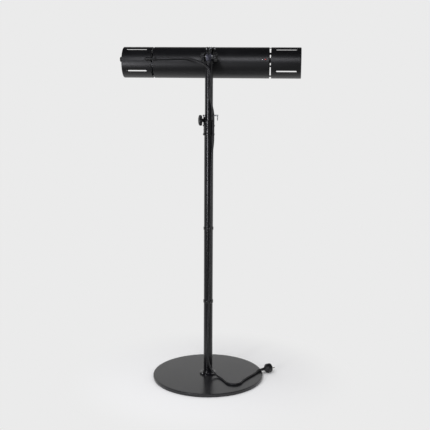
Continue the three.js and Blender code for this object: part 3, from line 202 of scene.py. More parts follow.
# Bare electroplated sheet on the inside of the end caps, where no enamel was sprayed.
BARE_SHEET = Finish("bare_zinc_coated_sheet", "#b9bbbd", "#a6a9ac", (0.30, 0.42), 1.4, 0.006,
                    patch_mm=16, metallic=1.0)
# Turned brass with fine tool marks round it.
TURNED_BRASS = Finish("turned_brass", "#c9a45c", "#b8934c", (0.22, 0.34), 0.5, 0.006,
                      patch_mm=8, metallic=1.0)
# Anodised rolled reflector sheet: near mirror, with rolling lines along the head.
REFLECTOR_SHEET = Finish("anodised_reflector_aluminium", "#dadbdc", "#cdced1", (0.07, 0.16), 1.4,
                         0.004, grain=Grain.ALONG_X, metallic=1.0)
# Fused quartz with a gold-ruby tint: clear, warm and very glossy.
QUARTZ_GLASS = Finish("gold_tinted_quartz_glass", "#e8b98c", "#e2ad7e", (0.02, 0.05), 6.0, 0.002,
                      ior=1.458, transmission=0.95)
# Pressed steatite: chalky white with a faint sandy skin.
STEATITE = Finish("pressed_steatite_ceramic", "#e6e1d6", "#d9d3c6", (0.5, 0.65), 0.5, 0.01,
                  patch_mm=6, ior=1.6)
# Coiled resistance wire, darkened by heat.
HEATING_WIRE = Finish("heat_darkened_tungsten", "#6a625a", "#544e49", (0.35, 0.5), 0.4, 0.003,
                      patch_mm=8, metallic=1.0)
# Chloroprene jacket of a heavy flexible lead: matt black with a soft sheen on its crown.
LEAD_RUBBER = Finish("chloroprene_lead_jacket", "#161618", "#1e1e21", (0.38, 0.5), 0.9, 0.015,
                     patch_mm=30, ior=1.52)
# Soft moulded PVC of the plug and strain relief.
PLUG_PVC = Finish("moulded_soft_pvc", "#0f0f11", "#151517", (0.32, 0.42), 1.0, 0.012, patch_mm=18,
                  ior=1.53)
# Thick sealing lacquer on a screw's head: a glossy red blob.
RED_LACQUER = Finish("red_sealing_lacquer", "#a81f1c", "#8c1815", (0.15, 0.25), 0.8, 0.02,
                     patch_mm=2)
# Nickel plated brass pins.
PIN_NICKEL = Finish("nickel_plated_brass", "#cfcdc6", "#bebbb3", (0.16, 0.24), 0.6, 0.004,
                    patch_mm=6, metallic=1.0)


# ---------------------------------------------------------------- forms
def along(direction: Sequence[float], start: Sequence[float]) -> Matrix:
    """Gives the placement that lays what was made along +Z in a direction.

    Args:
        direction: Where +Z is to point.
        start: Where the origin goes, in millimetres.

    Returns:
        The placement.
    """
    turn = Vector(direction).to_track_quat("Z", "Y").to_matrix().to_4x4()
    return Matrix.Translation(Vector(start)) @ turn


def smooth_line(points: Sequence[Point], per_span: int = 6) -> list[Vector]:
    """Gives points on a centripetal Catmull-Rom line, as the CAD's leads follow.

    Args:
        points: The points that the line passes through.
        per_span: How many steps each span is cut into.

    Returns:
        The points of the line, first and last included.
    """
    given = [Vector(p) for p in points]
    given = [2 * given[0] - given[1], *given, 2 * given[-1] - given[-2]]
    line = []
    for i in range(1, len(given) - 2):
        spots = given[i - 1:i + 3]
        times = [0.0]
        for a, b in zip(spots, spots[1:]):
            times.append(times[-1] + math.sqrt(max((b - a).length, 1e-6)))
        for k in range(per_span):
            t = times[1] + (times[2] - times[1]) * k / per_span
            a1, a2, a3 = (
                spots[j].lerp(spots[j + 1], (t - times[j]) / (times[j + 1] - times[j]))
                for j in range(3)
            )
            b1 = a1.lerp(a2, (t - times[0]) / (times[2] - times[0]))
            b2 = a2.lerp(a3, (t - times[1]) / (times[3] - times[1]))
            line.append(b1.lerp(b2, (t - times[1]) / (times[2] - times[1])))
    line.append(given[-2].copy())
    return line


class Form:
    """A shape in the making, in millimetres, that becomes one piece at the origin."""

    def __init__(self) -> None:
        """Starts with nothing."""
        self.mesh = bmesh.new()

    def loft(self, rings: Sequence[Sequence[Vector]], close: bool = False,
             place: Matrix = Matrix()) -> "Form":
        """Adds a skin over closed rings, with a fan on an end ring unless the skin closes.

        Args:
            rings: The rings, each with as many points, or one point for a pole.
            close: Whether the last ring joins the first.
            place: Where the skin goes.

        Returns:
            This form.
        """
        made = [[self.mesh.verts.new(place @ p) for p in ring] for ring in rings]
        pairs = list(zip(made, made[1:] + made[:1])) if close else list(zip(made, made[1:]))
        for low, high in pairs:
            count = max(len(low), len(high))
            for i in range(count):
                j = (i + 1) % count
                corners = [low[i % len(low)], low[j % len(low)], high[j % len(high)],
                           high[i % len(high)]]
                kept = list(dict.fromkeys(corners))
                if len(kept) > 2:
                    self.mesh.faces.new(kept)
        if not close:
            for ring in (made[0], made[-1]):
                if len(ring) > 2:
                    self.mesh.faces.new(ring)
        return self

    def turned(self, section: Sequence[Corner], sides: int = 96,
               place: Matrix = Matrix()) -> "Form":
        """Adds a solid of revolution about Z.

        Args:
            section: (radius, height) corners, in order round the section.
            sides: How many straight edges stand for the round.
            place: Where the solid goes.

        Returns:
            This form.
        """
        rings = []
        for radius, height in section:
            if radius < 1e-6:
                rings.append([Vector((0, 0, height))])
                continue
            turns = [2 * math.pi * i / sides for i in range(sides)]
            rings.append([Vector((radius * math.cos(a), radius * math.sin(a), height))
                          for a in turns])
        on_axis = section[0][0] < 1e-6 and section[-1][0] < 1e-6
        return self.loft(rings, not on_axis, place)

    def tube(self, line: Sequence[Vector], radius: float | Sequence[float],
             sides: int = 20) -> "Form":
        """Adds a round bar along a line.

        Args:
            line: The points that its middle follows.
            radius: Its radius, or one radius for each point.
            sides: How many straight edges stand for the round.

        Returns:
            This form.
        """
        radii = [radius] * len(line) if isinstance(radius, (int, float)) else list(radius)
        rings = []
        side = None
        for i, spot in enumerate(line):
            heading = (line[min(i + 1, len(line) - 1)] - line[max(i - 1, 0)]).normalized()
            if side is None:
                side = heading.orthogonal().normalized()
            side = (side - heading * side.dot(heading)).normalized()
            other = heading.cross(side)
            rings.append([
                spot + radii[i] * (math.cos(a) * side + math.sin(a) * other)
                for a in (2 * math.pi * k / sides for k in range(sides))
            ])
        return self.loft(rings)

    def pulled(self, outline: Sequence[Corner], low: float, high: float,
               place: Matrix = Matrix()) -> "Form":
        """Adds a closed outline in X and Y pulled up along Z.

        Args:
            outline: The outline's corners in order.
            low: Where the pull starts.
            high: Where it ends.
            place: Where the solid goes.

        Returns:
            This form.
        """
        rings = [[Vector((x, y, h)) for x, y in outline] for h in (low, high)]
        return self.loft(rings, place=place)

    def cut(self, *cutters: "Form") -> "Form":
        """Takes other forms away from this one.

        Args:
            cutters: What is taken away.

        Returns:
            This form.
        """
        body = self._plain("cut_body")
        tools = [cutter._plain("cutter") for cutter in cutters]
        for tool in tools:
            change = body.modifiers.new("cut", "BOOLEAN")
            change.operation = "DIFFERENCE"
            change.solver = "EXACT"
            change.object = tool
        self._take(body, tools)
        return self

    def melted(self, voxel: float, rounds: int) -> "Form":
        """Runs overlapping solids together into one moulded skin with soft fillets.

        Args:
            voxel: The size of the skin's cells.
            rounds: How often the skin is smoothed.

        Returns:
            This form.
        """
        body = self._plain("melt")
        remesh = body.modifiers.new("skin", "REMESH")
        remesh.mode = "VOXEL"
        remesh.voxel_size = voxel
        ease = body.modifiers.new("ease", "SMOOTH")
        ease.factor = 0.5
        ease.iterations = rounds
        self._take(body, [])
        return self

    def _plain(self, name: str) -> bpy.types.Object:
        """Makes this form a bare object in millimetres, for a modifier's use.

        Args:
            name: The object's name.

        Returns:
            The object.
        """
        bmesh.ops.recalc_face_normals(self.mesh, faces=self.mesh.faces)
        mesh = bpy.data.meshes.new(name)
        self.mesh.to_mesh(mesh)
        obj = bpy.data.objects.new(name, mesh)
        bpy.context.scene.collection.objects.link(obj)
        return obj

    def _take(self, body: bpy.types.Object, tools: list[bpy.types.Object]) -> None:
        """Reads a body back with its modifiers applied and clears it and its tools away.

        Args:
            body: The body.
            tools: What its modifiers used.
        """
        graph = bpy.context.evaluated_depsgraph_get()
        result = bpy.data.meshes.new_from_object(body.evaluated_get(graph))
        self.mesh.free()
        self.mesh = bmesh.new()
        self.mesh.from_mesh(result)
        for obj in [body, *tools]:
            mesh = obj.data
            bpy.data.objects.remove(obj)
            bpy.data.meshes.remove(mesh)
        bpy.data.meshes.remove(result)

    def object(self, name: str, finish: Finish, crease: float = 32.0) -> bpy.types.Object:
        """Makes the form an object in metres, smooth but for edges sharper than the crease.

        Args:
            name: The piece's name.
            finish: Its finish.
            crease: The angle in degrees past which an edge stays sharp.

        Returns:
            The object, at the origin.
        """
        bmesh.ops.remove_doubles(self.mesh, verts=self.mesh.verts, dist=1e-4)
        bmesh.ops.recalc_face_normals(self.mesh, faces=self.mesh.faces)
        bmesh.ops.scale(self.mesh, vec=(MM, MM, MM), verts=self.mesh.verts)
        for face in self.mesh.faces:
            face.smooth = True
        limit = math.radians(crease)
        for edge in self.mesh.edges:
            edge.smooth = edge.calc_face_angle(0.0) < limit
        mesh = bpy.data.meshes.new(name)
        self.mesh.to_mesh(mesh)
        self.mesh.free()
        mesh.materials.append(finish.material())
        obj = bpy.data.objects.new(name, mesh)
        bpy.context.scene.collection.objects.link(obj)
        return obj


def grown(obj: bpy.types.Object, tree: bpy.types.NodeTree, values: dict[str, object],
          place: Matrix) -> bpy.types.Object:
    """Runs a Geometry Nodes tree on an object and keeps the result as its plain mesh.

    Args:
        obj: The object, in metres.
        tree: The tree.
        values: For each named input of the tree, its value.
        place: Where the tree's own origin goes, with its move in millimetres.

    Returns:
        The same object, with no modifier left on it.
    """
    change = obj.modifiers.new("grown", "NODES")
    change.node_group = tree
    for item in tree.interface.items_tree:
        if item.in_out == "INPUT" and item.name in values:
            change[item.identifier] = values[item.name]
    graph = bpy.context.evaluated_depsgraph_get()
    result = bpy.data.meshes.new_from_object(obj.evaluated_get(graph))
    obj.modifiers.remove(change)
    old = obj.data
    place = place.copy()
    place.translation *= MM
    result.transform(place)
    obj.data = result
    bpy.data.meshes.remove(old)
    return obj


@dataclass(frozen=True)
class Repeater:
    """Sets copies of one shape by a rule, each turned and moved one step on from the last."""

    count: int
    turn: Point = (0.0, 0.0, 0.0)
    move: Point = (0.0, 0.0, 0.0)
    first_turn: Point = (0.0, 0.0, 0.0)
    first_move: Point = (0.0, 0.0, 0.0)

    def tree(self) -> bpy.types.NodeTree:
        """Gives the Geometry Nodes tree, which is built the first time.

        Returns:
            The tree, with its sizes as named inputs.
        """
        made = bpy.data.node_groups.get("copies_by_rule")
        if made:
            return made
        tree = bpy.data.node_groups.new("copies_by_rule", "GeometryNodeTree")
        face = tree.interface
        face.new_socket("Geometry", in_out="INPUT", socket_type="NodeSocketGeometry")
        face.new_socket("Count", in_out="INPUT", socket_type="NodeSocketInt")
        for name in ("Turn", "Move", "First Turn", "First Move"):
            face.new_socket(name, in_out="INPUT", socket_type="NodeSocketVector")
        face.new_socket("Finish", in_out="INPUT", socket_type="NodeSocketMaterial")
        face.new_socket("Geometry", in_out="OUTPUT", socket_type="NodeSocketGeometry")
        given = add_node(tree, "NodeGroupInput").outputs
        number = add_node(tree, "GeometryNodeInputIndex").outputs["Index"]
        places = []
        for step, first in (("Turn", "First Turn"), ("Move", "First Move")):
            scaled = add_node(tree, "ShaderNodeVectorMath", {0: given[step]}, operation="SCALE")
            tree.links.new(number, scaled.inputs["Scale"])
            places.append(add_node(tree, "ShaderNodeVectorMath", {
                0: scaled.outputs[0], 1: given[first]}, operation="ADD").outputs[0])
        spots = add_node(tree, "GeometryNodePoints", {
            "Count": given["Count"], "Position": places[1]})
        copies = add_node(tree, "GeometryNodeInstanceOnPoints", {
            "Points": spots.outputs[0], "Instance": given["Geometry"], "Rotation": places[0]})
        real = add_node(tree, "GeometryNodeRealizeInstances", {0: copies.outputs["Instances"]})
        dressed = add_node(tree, "GeometryNodeSetMaterial", {
            "Geometry": real.outputs[0], "Material": given["Finish"]})
        add_node(tree, "NodeGroupOutput", {0: dressed.outputs[0]})
        return tree

    def spread(self, obj: bpy.types.Object, finish: Finish, place: Matrix) -> bpy.types.Object:
        """Spreads the copies of an object's shape, made in metres, and puts them in their place.

        Args:
            obj: The object that holds one copy.
            finish: The copies' finish.
            place: Where the rule's own origin goes, with its move in millimetres.

        Returns:
            The same object with the plain mesh of all copies.
        """
        values = {
            "Count": self.count, "Turn": self.turn, "Move": [v * MM for v in self.move],
            "First Turn": self.first_turn, "First Move": [v * MM for v in self.first_move],
            "Finish": finish.material(),
        }
        return grown(obj, self.tree(), values, place)


@dataclass(frozen=True)
class Coil:
    """A wire wound in a helix along +Z, in metres, made by Geometry Nodes."""

    turns: float
    radius: float
    length: float
    wire: float

    def object(self, name: str, finish: Finish, place: Matrix) -> bpy.types.Object:
        """Winds the coil.

        Args:
            name: The piece's name.
            finish: The wire's finish.
            place: Where the coil starts and how it is turned, in millimetres.

        Returns:
            The object, a plain mesh at the origin.
        """
        tree = bpy.data.node_groups.new("wound_wire", "GeometryNodeTree")
        face = tree.interface
        face.new_socket("Geometry", in_out="INPUT", socket_type="NodeSocketGeometry")
        for key in ("Turns", "Radius", "Length", "Wire"):
            face.new_socket(key, in_out="INPUT", socket_type="NodeSocketFloat")
        face.new_socket("Finish", in_out="INPUT", socket_type="NodeSocketMaterial")
        face.new_socket("Geometry", in_out="OUTPUT", socket_type="NodeSocketGeometry")
        given = add_node(tree, "NodeGroupInput").outputs
        path = add_node(tree, "GeometryNodeCurveSpiral", {
            "Resolution": 10, "Rotations": given["Turns"], "Start Radius": given["Radius"],
            "End Radius": given["Radius"], "Height": given["Length"]})
        round_ = add_node(tree, "GeometryNodeCurvePrimitiveCircle", {
            "Resolution": 5, "Radius": given["Wire"]}, mode="RADIUS")
        skin = add_node(tree, "GeometryNodeCurveToMesh", {
            "Curve": path.outputs[0], "Profile Curve": round_.outputs[0], "Fill Caps": True})
        real = add_node(tree, "GeometryNodeRealizeInstances", {0: skin.outputs[0]})
        dressed = add_node(tree, "GeometryNodeSetMaterial", {
            "Geometry": real.outputs[0], "Material": given["Finish"]})
        add_node(tree, "NodeGroupOutput", {0: dressed.outputs[0]})
        # The tree makes all of the wire, so what it runs on only has to be a mesh.
        obj = Form().turned([(0, 0), (1, 0), (1, 1), (0, 1)], 6).object(name, finish)
        values = {
            "Turns": self.turns, "Radius": self.radius * MM, "Length": self.length * MM,
            "Wire": self.wire * MM, "Finish": finish.material(),
        }
        coil = grown(obj, tree, values, place)
        for polygon in coil.data.polygons:
            polygon.use_smooth = True
        return coil


def carried(obj: bpy.types.Object, body: str, slot: str, *replaced: str) -> bpy.types.Object:
    """Lets a piece ride on its body and stand for the CAD nodes that it replaces.

    Args:
        obj: The finished piece.
        body: The CAD body that it moves with.
        slot: A material slot's name; not used.
        replaced: The CAD nodes that it stands for.

    Returns:
        The same piece.
    """
    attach(obj, body)
    if replaced:
        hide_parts(*replaced)
    LOG.info("%s: %d faces, on %s", obj.name, len(obj.data.polygons), body)
    return obj


def dressed_node(name: str, finish: Finish, bevel: float = 0.35) -> bpy.types.Object:
    """Gives a CAD node whose shape is right its finish and soft edges.

    Args:
        name: The node's name.
        finish: Its finish.
        bevel: The width of its eased edges in millimetres, 0 for none.

    Returns:
        The node's object.
    """
    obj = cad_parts[name]
    material = finish.material()
    if not obj.material_slots:
        obj.data.materials.append(material)
    for item in obj.material_slots:
        item.link = "OBJECT"
        item.material = material
    weld = obj.modifiers.new("weld", "WELD")
    weld.merge_threshold = 1e-6
    flat = obj.modifiers.new("flat", "DECIMATE")
    flat.decimate_type = "DISSOLVE"
    flat.angle_limit = math.radians(1)
    if bevel:
        ease = obj.modifiers.new("ease", "BEVEL")
        ease.width = bevel * MM
        ease.segments = 2
        ease.limit_method = "ANGLE"
        ease.angle_limit = math.radians(35)
    smooth = obj.modifiers.new("smooth", "NODES")
    smooth.node_group = smooth_by_angle()
    LOG.info("%s keeps its CAD shape, in %s", name, finish.name)
    return obj


def smooth_by_angle() -> bpy.types.NodeTree:
    """Gives the tree that shades smooth across every edge flatter than 32 degrees.

    Returns:
        The tree, which is built the first time.
    """
    made = bpy.data.node_groups.get("smooth_below_32_degrees")
    if made:
        return made
    tree = bpy.data.node_groups.new("smooth_below_32_degrees", "GeometryNodeTree")
    tree.interface.new_socket("Geometry", in_out="INPUT", socket_type="NodeSocketGeometry")
    tree.interface.new_socket("Geometry", in_out="OUTPUT", socket_type="NodeSocketGeometry")
    given = add_node(tree, "NodeGroupInput").outputs[0]
    faces = add_node(tree, "GeometryNodeSetShadeSmooth", {0: given}, domain="FACE")
    angle = add_node(tree, "GeometryNodeInputMeshEdgeAngle").outputs["Unsigned Angle"]
    soft = add_node(tree, "FunctionNodeCompare", {0: angle, 1: math.radians(32)},
                    operation="LESS_THAN")
    edges = add_node(tree, "GeometryNodeSetShadeSmooth", {
        0: faces.outputs[0], "Shade Smooth": soft.outputs[0]}, domain="EDGE")
    add_node(tree, "NodeGroupOutput", {0: edges.outputs[0]})
    return tree


# ---------------------------------------------------------------- camera and studio
@dataclass
class PhotoCamera:
    """The camera at the photograph's place, for a square frame."""

    place: Point = (382.2, -3533.6, 1402.2)
    azimuth: float = 5.711
    down: float = 10.363
    roll: float = 0.288
    lens: float = 68.26

    def build(self) -> bpy.types.Object:
        """Makes the camera the scene's own.

        Returns:
            The camera.
        """
        turn, dip, roll = (math.radians(v) for v in (self.azimuth, self.down, self.roll))
        ahead = Vector((-math.sin(turn) * math.cos(dip), math.cos(turn) * math.cos(dip),
                        -math.sin(dip)))
        right = Vector((math.cos(turn), math.sin(turn), 0))
        up = right.cross(ahead)
        x_axis = right * math.cos(roll) + up * math.sin(roll)
        y_axis = up * math.cos(roll) - right * math.sin(roll)
        data = bpy.data.cameras.new("photo_camera")
        data.sensor_width = 36
        data.lens = self.lens
        data.clip_end = 100
        camera = bpy.data.objects.new("photo_camera", data)
        turned = Matrix((x_axis, y_axis, -ahead)).transposed().to_4x4()
        camera.matrix_world = Matrix.Translation(Vector(self.place) * MM) @ turned
        bpy.context.scene.collection.objects.link(camera)
        bpy.context.scene.camera = camera
        LOG.info("camera at %s mm, %.2f mm lens", self.place, self.lens)
        return camera


@dataclass
class Lamp:
    """One soft rectangular lamp, aimed at a point."""

    name: str
    place: Point
    aim: Point
    size: Corner
    power: float
    colour: str = "#ffffff"
    in_gloss: bool = True

    def build(self) -> None:
        """Hangs the lamp."""
        data = bpy.data.lights.new(self.name, "AREA")
        data.shape = "RECTANGLE"
        data.size, data.size_y = self.size
        data.energy = self.power
        data.color = linear(self.colour)[:3]
        lamp = bpy.data.objects.new(self.name, data)
        lamp.location = self.place
        heading = Vector(self.aim) - Vector(self.place)
        lamp.rotation_euler = heading.to_track_quat("-Z", "Y").to_euler()
        lamp.visible_glossy = self.in_gloss
        bpy.context.scene.collection.objects.link(lamp)


@dataclass
class Studio:
    """A plain pale floor and soft lamps."""

    pale: str = "#ebebeb"
    soft_light: float = 0.6
    floor_half: float = 14.0
    lamps: tuple[Lamp, ...] = (
        Lamp("key_above_left", (-1.1, -0.5, 3.7), (0, 0, 0.7), (2.8, 2.8), 42, in_gloss=False),
        Lamp("left_strip", (-1.45, -2.8, 0.8), (0, 0, 0.9), (0.34, 1.1), 26, "#f9f9ff"),
        Lamp("front_strip", (-0.2, -3.1, 3.05), (0, 0, 1.4), (2.4, 0.85), 38, "#f8f8ff"),
    )

    def build(self) -> None:
        """Lays the floor, lights the scene and sets the world's colour."""
        bpy.context.scene.view_settings.view_transform = "Standard"
        for lamp in self.lamps:
            lamp.build()
        self._world()
        self._floor()
        LOG.info("studio with %d lamps", len(self.lamps))

    def _world(self) -> None:
        """Makes the world pale to the camera, and to gloss a pale wall under a dark ceiling."""
        world = bpy.data.worlds.new("studio")
        world.use_nodes = True
        bpy.context.scene.world = world
        tree = world.node_tree
        back = tree.nodes["Background"]
        back.inputs["Color"].default_value = linear(self.pale)
        way = add_node(tree, "ShaderNodeTexCoord").outputs["Generated"]
        parts = add_node(tree, "ShaderNodeSeparateXYZ", {0: way}).outputs
        height = add_node(tree, "ShaderNodeMapRange", {
            "Value": parts["Z"], "From Min": 0.30, "From Max": 0.62, "To Min": 1.0,
            "To Max": 0.05}, interpolation_type="SMOOTHSTEP")
        behind = add_node(tree, "ShaderNodeMapRange", {
            "Value": parts["Y"], "From Min": -0.5, "From Max": 0.3, "To Min": 0.1,
            "To Max": 1.0}, interpolation_type="SMOOTHSTEP")
        room = add_node(tree, "ShaderNodeMath", {
            0: height.outputs[0], 1: behind.outputs[0]}, operation="MULTIPLY")
        rays = add_node(tree, "ShaderNodeLightPath").outputs
        lit = add_node(tree, "ShaderNodeMix", {
            0: rays["Is Glossy Ray"], 2: self.soft_light, 3: room.outputs[0]}, data_type="FLOAT")
        shown = add_node(tree, "ShaderNodeMix", {
            0: rays["Is Camera Ray"], 2: lit.outputs[0], 3: 1.0}, data_type="FLOAT")
        tree.links.new(shown.outputs[0], back.inputs["Strength"])
        add_node(tree, "ShaderNodeOutputWorld", {0: back.outputs[0]})

    def _floor(self) -> None:
        """Lays a pale floor that keeps the shadow and, far off, takes the world's colour."""
        half = self.floor_half
        mesh = bpy.data.meshes.new("floor")
        mesh.from_pydata([(-half, -half, 0), (half, -half, 0), (half, half, 0), (-half, half, 0)],
                         [], [(0, 1, 2, 3)])
        floor = bpy.data.objects.new("floor", mesh)
        bpy.context.scene.collection.objects.link(floor)
        material = bpy.data.materials.new("pale_studio_floor")
        material.use_nodes = True
        tree = material.node_tree
        tree.nodes.clear()
        matt = add_node(tree, "ShaderNodeBsdfDiffuse", {"Color": linear("#f7f7f7")})
        where = add_node(tree, "ShaderNodeTexCoord").outputs["Object"]
        parts = add_node(tree, "ShaderNodeSeparateXYZ", {0: where}).outputs
        side = add_node(tree, "ShaderNodeMapRange", {
            "Value": parts["Y"], "From Min": -0.7, "From Max": 0.2, "To Min": 0.25,
            "To Max": 1.0}, interpolation_type="SMOOTHSTEP")
        rays = add_node(tree, "ShaderNodeLightPath").outputs
        level = add_node(tree, "ShaderNodeMix", {
            0: rays["Is Camera Ray"], 2: side.outputs[0], 3: 1.0}, data_type="FLOAT")
        plain = add_node(tree, "ShaderNodeEmission", {
            "Color": linear(self.pale), "Strength": level.outputs[0]})
        reach = add_node(tree, "ShaderNodeVectorMath", {0: where}, operation="LENGTH")
        fade = add_node(tree, "ShaderNodeMapRange", {
            "Value": reach.outputs["Value"], "From Min": 0.28, "From Max": 0.68},
            interpolation_type="SMOOTHSTEP")
        both = add_node(tree, "ShaderNodeMixShader", {
            0: fade.outputs[0], 1: matt.outputs[0], 2: plain.outputs[0]})
        add_node(tree, "ShaderNodeOutputMaterial", {0: both.outputs[0]})
        mesh.materials.append(material)


# ------------------------------------------------------- sizes shared by the sub-assemblies
@dataclass(frozen=True)
class Heights:
    """The heights and sizes at which the sub-assemblies meet, as in the part's source."""

    plate_top: float = 15.0
    lower_radius: float = 20.0
    upper_radius: float = 17.5
    collar_foot: float = 1105.0
    collar_top: float = 1170.0
    bush_top: float = 1172.0
    clamp: float = 1169.7
    pin: float = 1191.0
    upper_top: float = 1412.0
    fork_foot: float = 1424.0
    pivot: float = 1440.0
    lower_length: float = 1130.0
    head_forward: float = 115.0
    head: float = 1416.0
    head_radius: float = 67.5
    head_half: float = 394.0
    cap_length: float = 131.5
    gland_in: float = 19.5
    gland_above: float = 15.6
    gland_standoff: float = 7.5
    gland_nose: float = 14.0


AT = Heights()
HEAD_PLACE = Matrix.Translation(Vector((0, AT.head_forward, AT.head)))
ALONG_X = Matrix.Rotation(math.pi / 2, 4, "Y")


@dataclass
class Lead:
    """The supply lead in its stretches, its strain reliefs, its clips and its plug."""

    diameter: float = 8.4
    sides: int = 20
    band_radius: float = 25.6
    plug_start: Point = (243.0, 52.6, 21.0)
    plug_azimuth: float = 38.0
    plug_radius: float = 20.8
    plug_length: float = 50.0
    relief_length: float = 34.0
    bend: float = 35.0
    hand_over: Point = (-52.0, 9.8, 1422.7)
    heading: Vector = field(default_factory=lambda: Vector((0.8, -0.54, -0.27)).normalized())

    @property
    def radius(self) -> float:
        """The lead's radius."""
        return self.diameter / 2

    @property
    def plug_place(self) -> Matrix:
        """The placement that lays the plug on the floor, from the end of its neck."""
        turn = math.radians(self.plug_azimuth)
        return along((math.cos(turn), math.sin(turn), 0), self.plug_start)

    def near_hand_over(self, distance: float) -> Point:
        """Gives a point on the straight run through the hand-over beside the bracket."""
        return tuple(Vector(self.hand_over) + self.heading * distance)

    def head_points(self) -> list[Point]:
        """Gives the points of the stretch from the gland to beside the bracket.

        Returns:
            The points, in order.
        """
        start, back, height = self.gland_exit()
        return [
            (start, back, height), (start + 16, back, height), (-198, back, height + 1.6),
            (-142, back - 0.4, height + 3.2), (-112, back - 2, height + 3),
            (-94, back - 7, height + 1.2), (-79, back - 14, height - 1.8),
            self.near_hand_over(-14), self.near_hand_over(0),
        ]

    def gland_exit(self) -> Point:
        """Gives the point where the lead leaves the gland's nose in the left end cap.

        Returns:
            The point.
        """
        back = math.sqrt(AT.head_radius ** 2 - AT.gland_above ** 2) + AT.gland_standoff
        gland = -(AT.head_half - AT.cap_length + AT.gland_in)
        return (gland + AT.gland_nose + SEAT_GAP, AT.head_forward - back,
                AT.head + AT.gland_above)

    def behind(self, x: float, reach: float, height: float) -> Point:
        """Gives a point on the back of the post from its place sideways and its reach."""
        return (x, -math.sqrt(reach ** 2 - x ** 2), height)

    def mast_points(self) -> list[Point]:
        """Gives the points of the stretch down the sliding tube to below the collar.

        Returns:
            The points, in order.
        """
        up = AT.upper_radius + self.radius + 0.6
        past = self.band_radius + self.radius + 0.6
        top, collar = AT.upper_top, AT.collar_top
        split = AT.collar_foot - 10
        behind = self.behind
        return [
            self.near_hand_over(SEAT_GAP), self.near_hand_over(12),
            (-32, -3.6, top + 3.3), (-22, -12, top - 1.6), (-12.6, -20.2, top - 7.2),
            (-4.6, -26.8, top - 14.2), (1.8, -30.6, top - 22.8), (6.2, -31.4, top - 33),
            (8.6, -29.6, top - 44.5), (9.6, -26.4, top - 58), (9.7, -23.2, top - 74),
            behind(8.8, up, top - 93), behind(7.2, up, top - 114),
            behind(7.4, up + 0.3, collar + 106), behind(10.6, up + 1.6, collar + 84),
            behind(15.4, up + 4.2, collar + 62), behind(19.8, past - 1.4, collar + 41),
            behind(22, past, collar + 21), behind(22.4, past, collar),
            behind(22.2, past, (collar + AT.collar_foot) / 2), behind(22, past, split + 14),
            behind(22, past, split),
        ]

    def lower_points(self) -> list[Point]:
        """Gives the points down the outer tube and over the base and the floor to the plug.

        Returns:
            The points, in order.
        """
        low = AT.lower_radius + self.radius + 0.6
        past = self.band_radius + self.radius + 0.6
        split, foot = AT.collar_foot - 10, 134
        flat = AT.plate_top + self.radius + SEAT_GAP
        behind = self.behind
        bend = [
            (126 + self.bend * math.cos(math.radians(a)),
             -134 + self.bend * (1 + math.sin(math.radians(a))), flat)
            for a in (208 + 130 * i / 8 for i in range(9))
        ]
        turn = math.radians(self.plug_azimuth)
        x, y, z = self.plug_start
        near = [(x - d * math.cos(turn), y - d * math.sin(turn), z) for d in (14, SEAT_GAP)]
        return [
            behind(22, past, split - SEAT_GAP), behind(21.7, past, split - 14),
            behind(19.8, low + 2.8, split - 34), behind(17.2, low + 0.7, split - 58),
            behind(15.3, low, split - 90), behind(12.9, low, split - 180),
            behind(11.6, low, 792), behind(11.2, low, 693), behind(8.4, low, 485),
            behind(6, low, 358), behind(2, low, 230), behind(0, low, foot + 14),
            behind(0, low, foot), behind(0.3, low, foot - 16), (1.6, -25.4, foot - 36),
            (5.2, -26.2, foot - 57), (12, -28, flat + 37), (22, -32, flat + 20),
            (34.5, -38.5, flat + 8.2), (48, -48, flat + 1.8), (61, -60, flat),
            (72, -75, flat), (83, -93, flat), *bend, (165, -88, flat), (180, -57, flat),
            (205, -12, flat), (222, 22, flat + 0.3), *near,
        ]

    def stretch(self, name: str, points: Sequence[Point]) -> tuple[bpy.types.Object, list[Vector]]:
        """Makes one stretch of the lead.

        Args:
            name: The piece's name.
            points: The points that it passes through.

        Returns:
            The piece, and the line that its middle follows.
        """
        line = smooth_line(points)
        piece = Form().tube(line, self.radius, self.sides).object(name, LEAD_RUBBER, 60)
        return piece, line

    def declare(self, piece: bpy.types.Object, line: list[Vector]) -> None:
        """Logs a stretch's true length.

        Args:
            piece: The stretch.
            line: The line that its middle follows, in millimetres.
        """
        spots = [p * MM for p in line]
        length = sum((b - a).length for a, b in zip(spots, spots[1:]))
        tuple(spots[0])
        [tuple(p) for p in spots]
        LOG.info("%s: %.0f mm of lead", piece.name, length / MM)

    def relief(self, name: str, line: Sequence[Vector], root: float) -> bpy.types.Object:
        """Makes a ribbed strain relief that tapers down onto the lead.

        Args:
            name: The piece's name.
            line: The line that the lead follows away from the housing.
            root: The radius at the housing.

        Returns:
            The piece.
        """
        form = Form()
        ribs = 7
        tip = self.radius + 0.9
        walked = [0.0]
        for a, b in zip(line, line[1:]):
            walked.append(walked[-1] + (b - a).length)

        def spot(distance: float) -> Vector:
            """Gives the point of the line a distance along it.

            Args:
                distance: How far along.

            Returns:
                The point.
            """
            i = max(k for k, d in enumerate(walked) if d <= distance)
            i = min(i, len(line) - 2)
            return line[i].lerp(line[i + 1], (distance - walked[i]) / (walked[i + 1] - walked[i]))

        steps = ribs * 8
        distances = [self.relief_length * i / steps for i in range(steps + 1)]
        radii = []
        for i, distance in enumerate(distances):
            share = distance / self.relief_length
            groove = 0.55 if i % 8 in (4, 5, 6) and i > 6 else 0.0
            radii.append(root + (tip - root) * share - groove)
        form.tube([spot(d) for d in distances], radii, 28)
        return form.object(name, PLUG_PVC, 50)

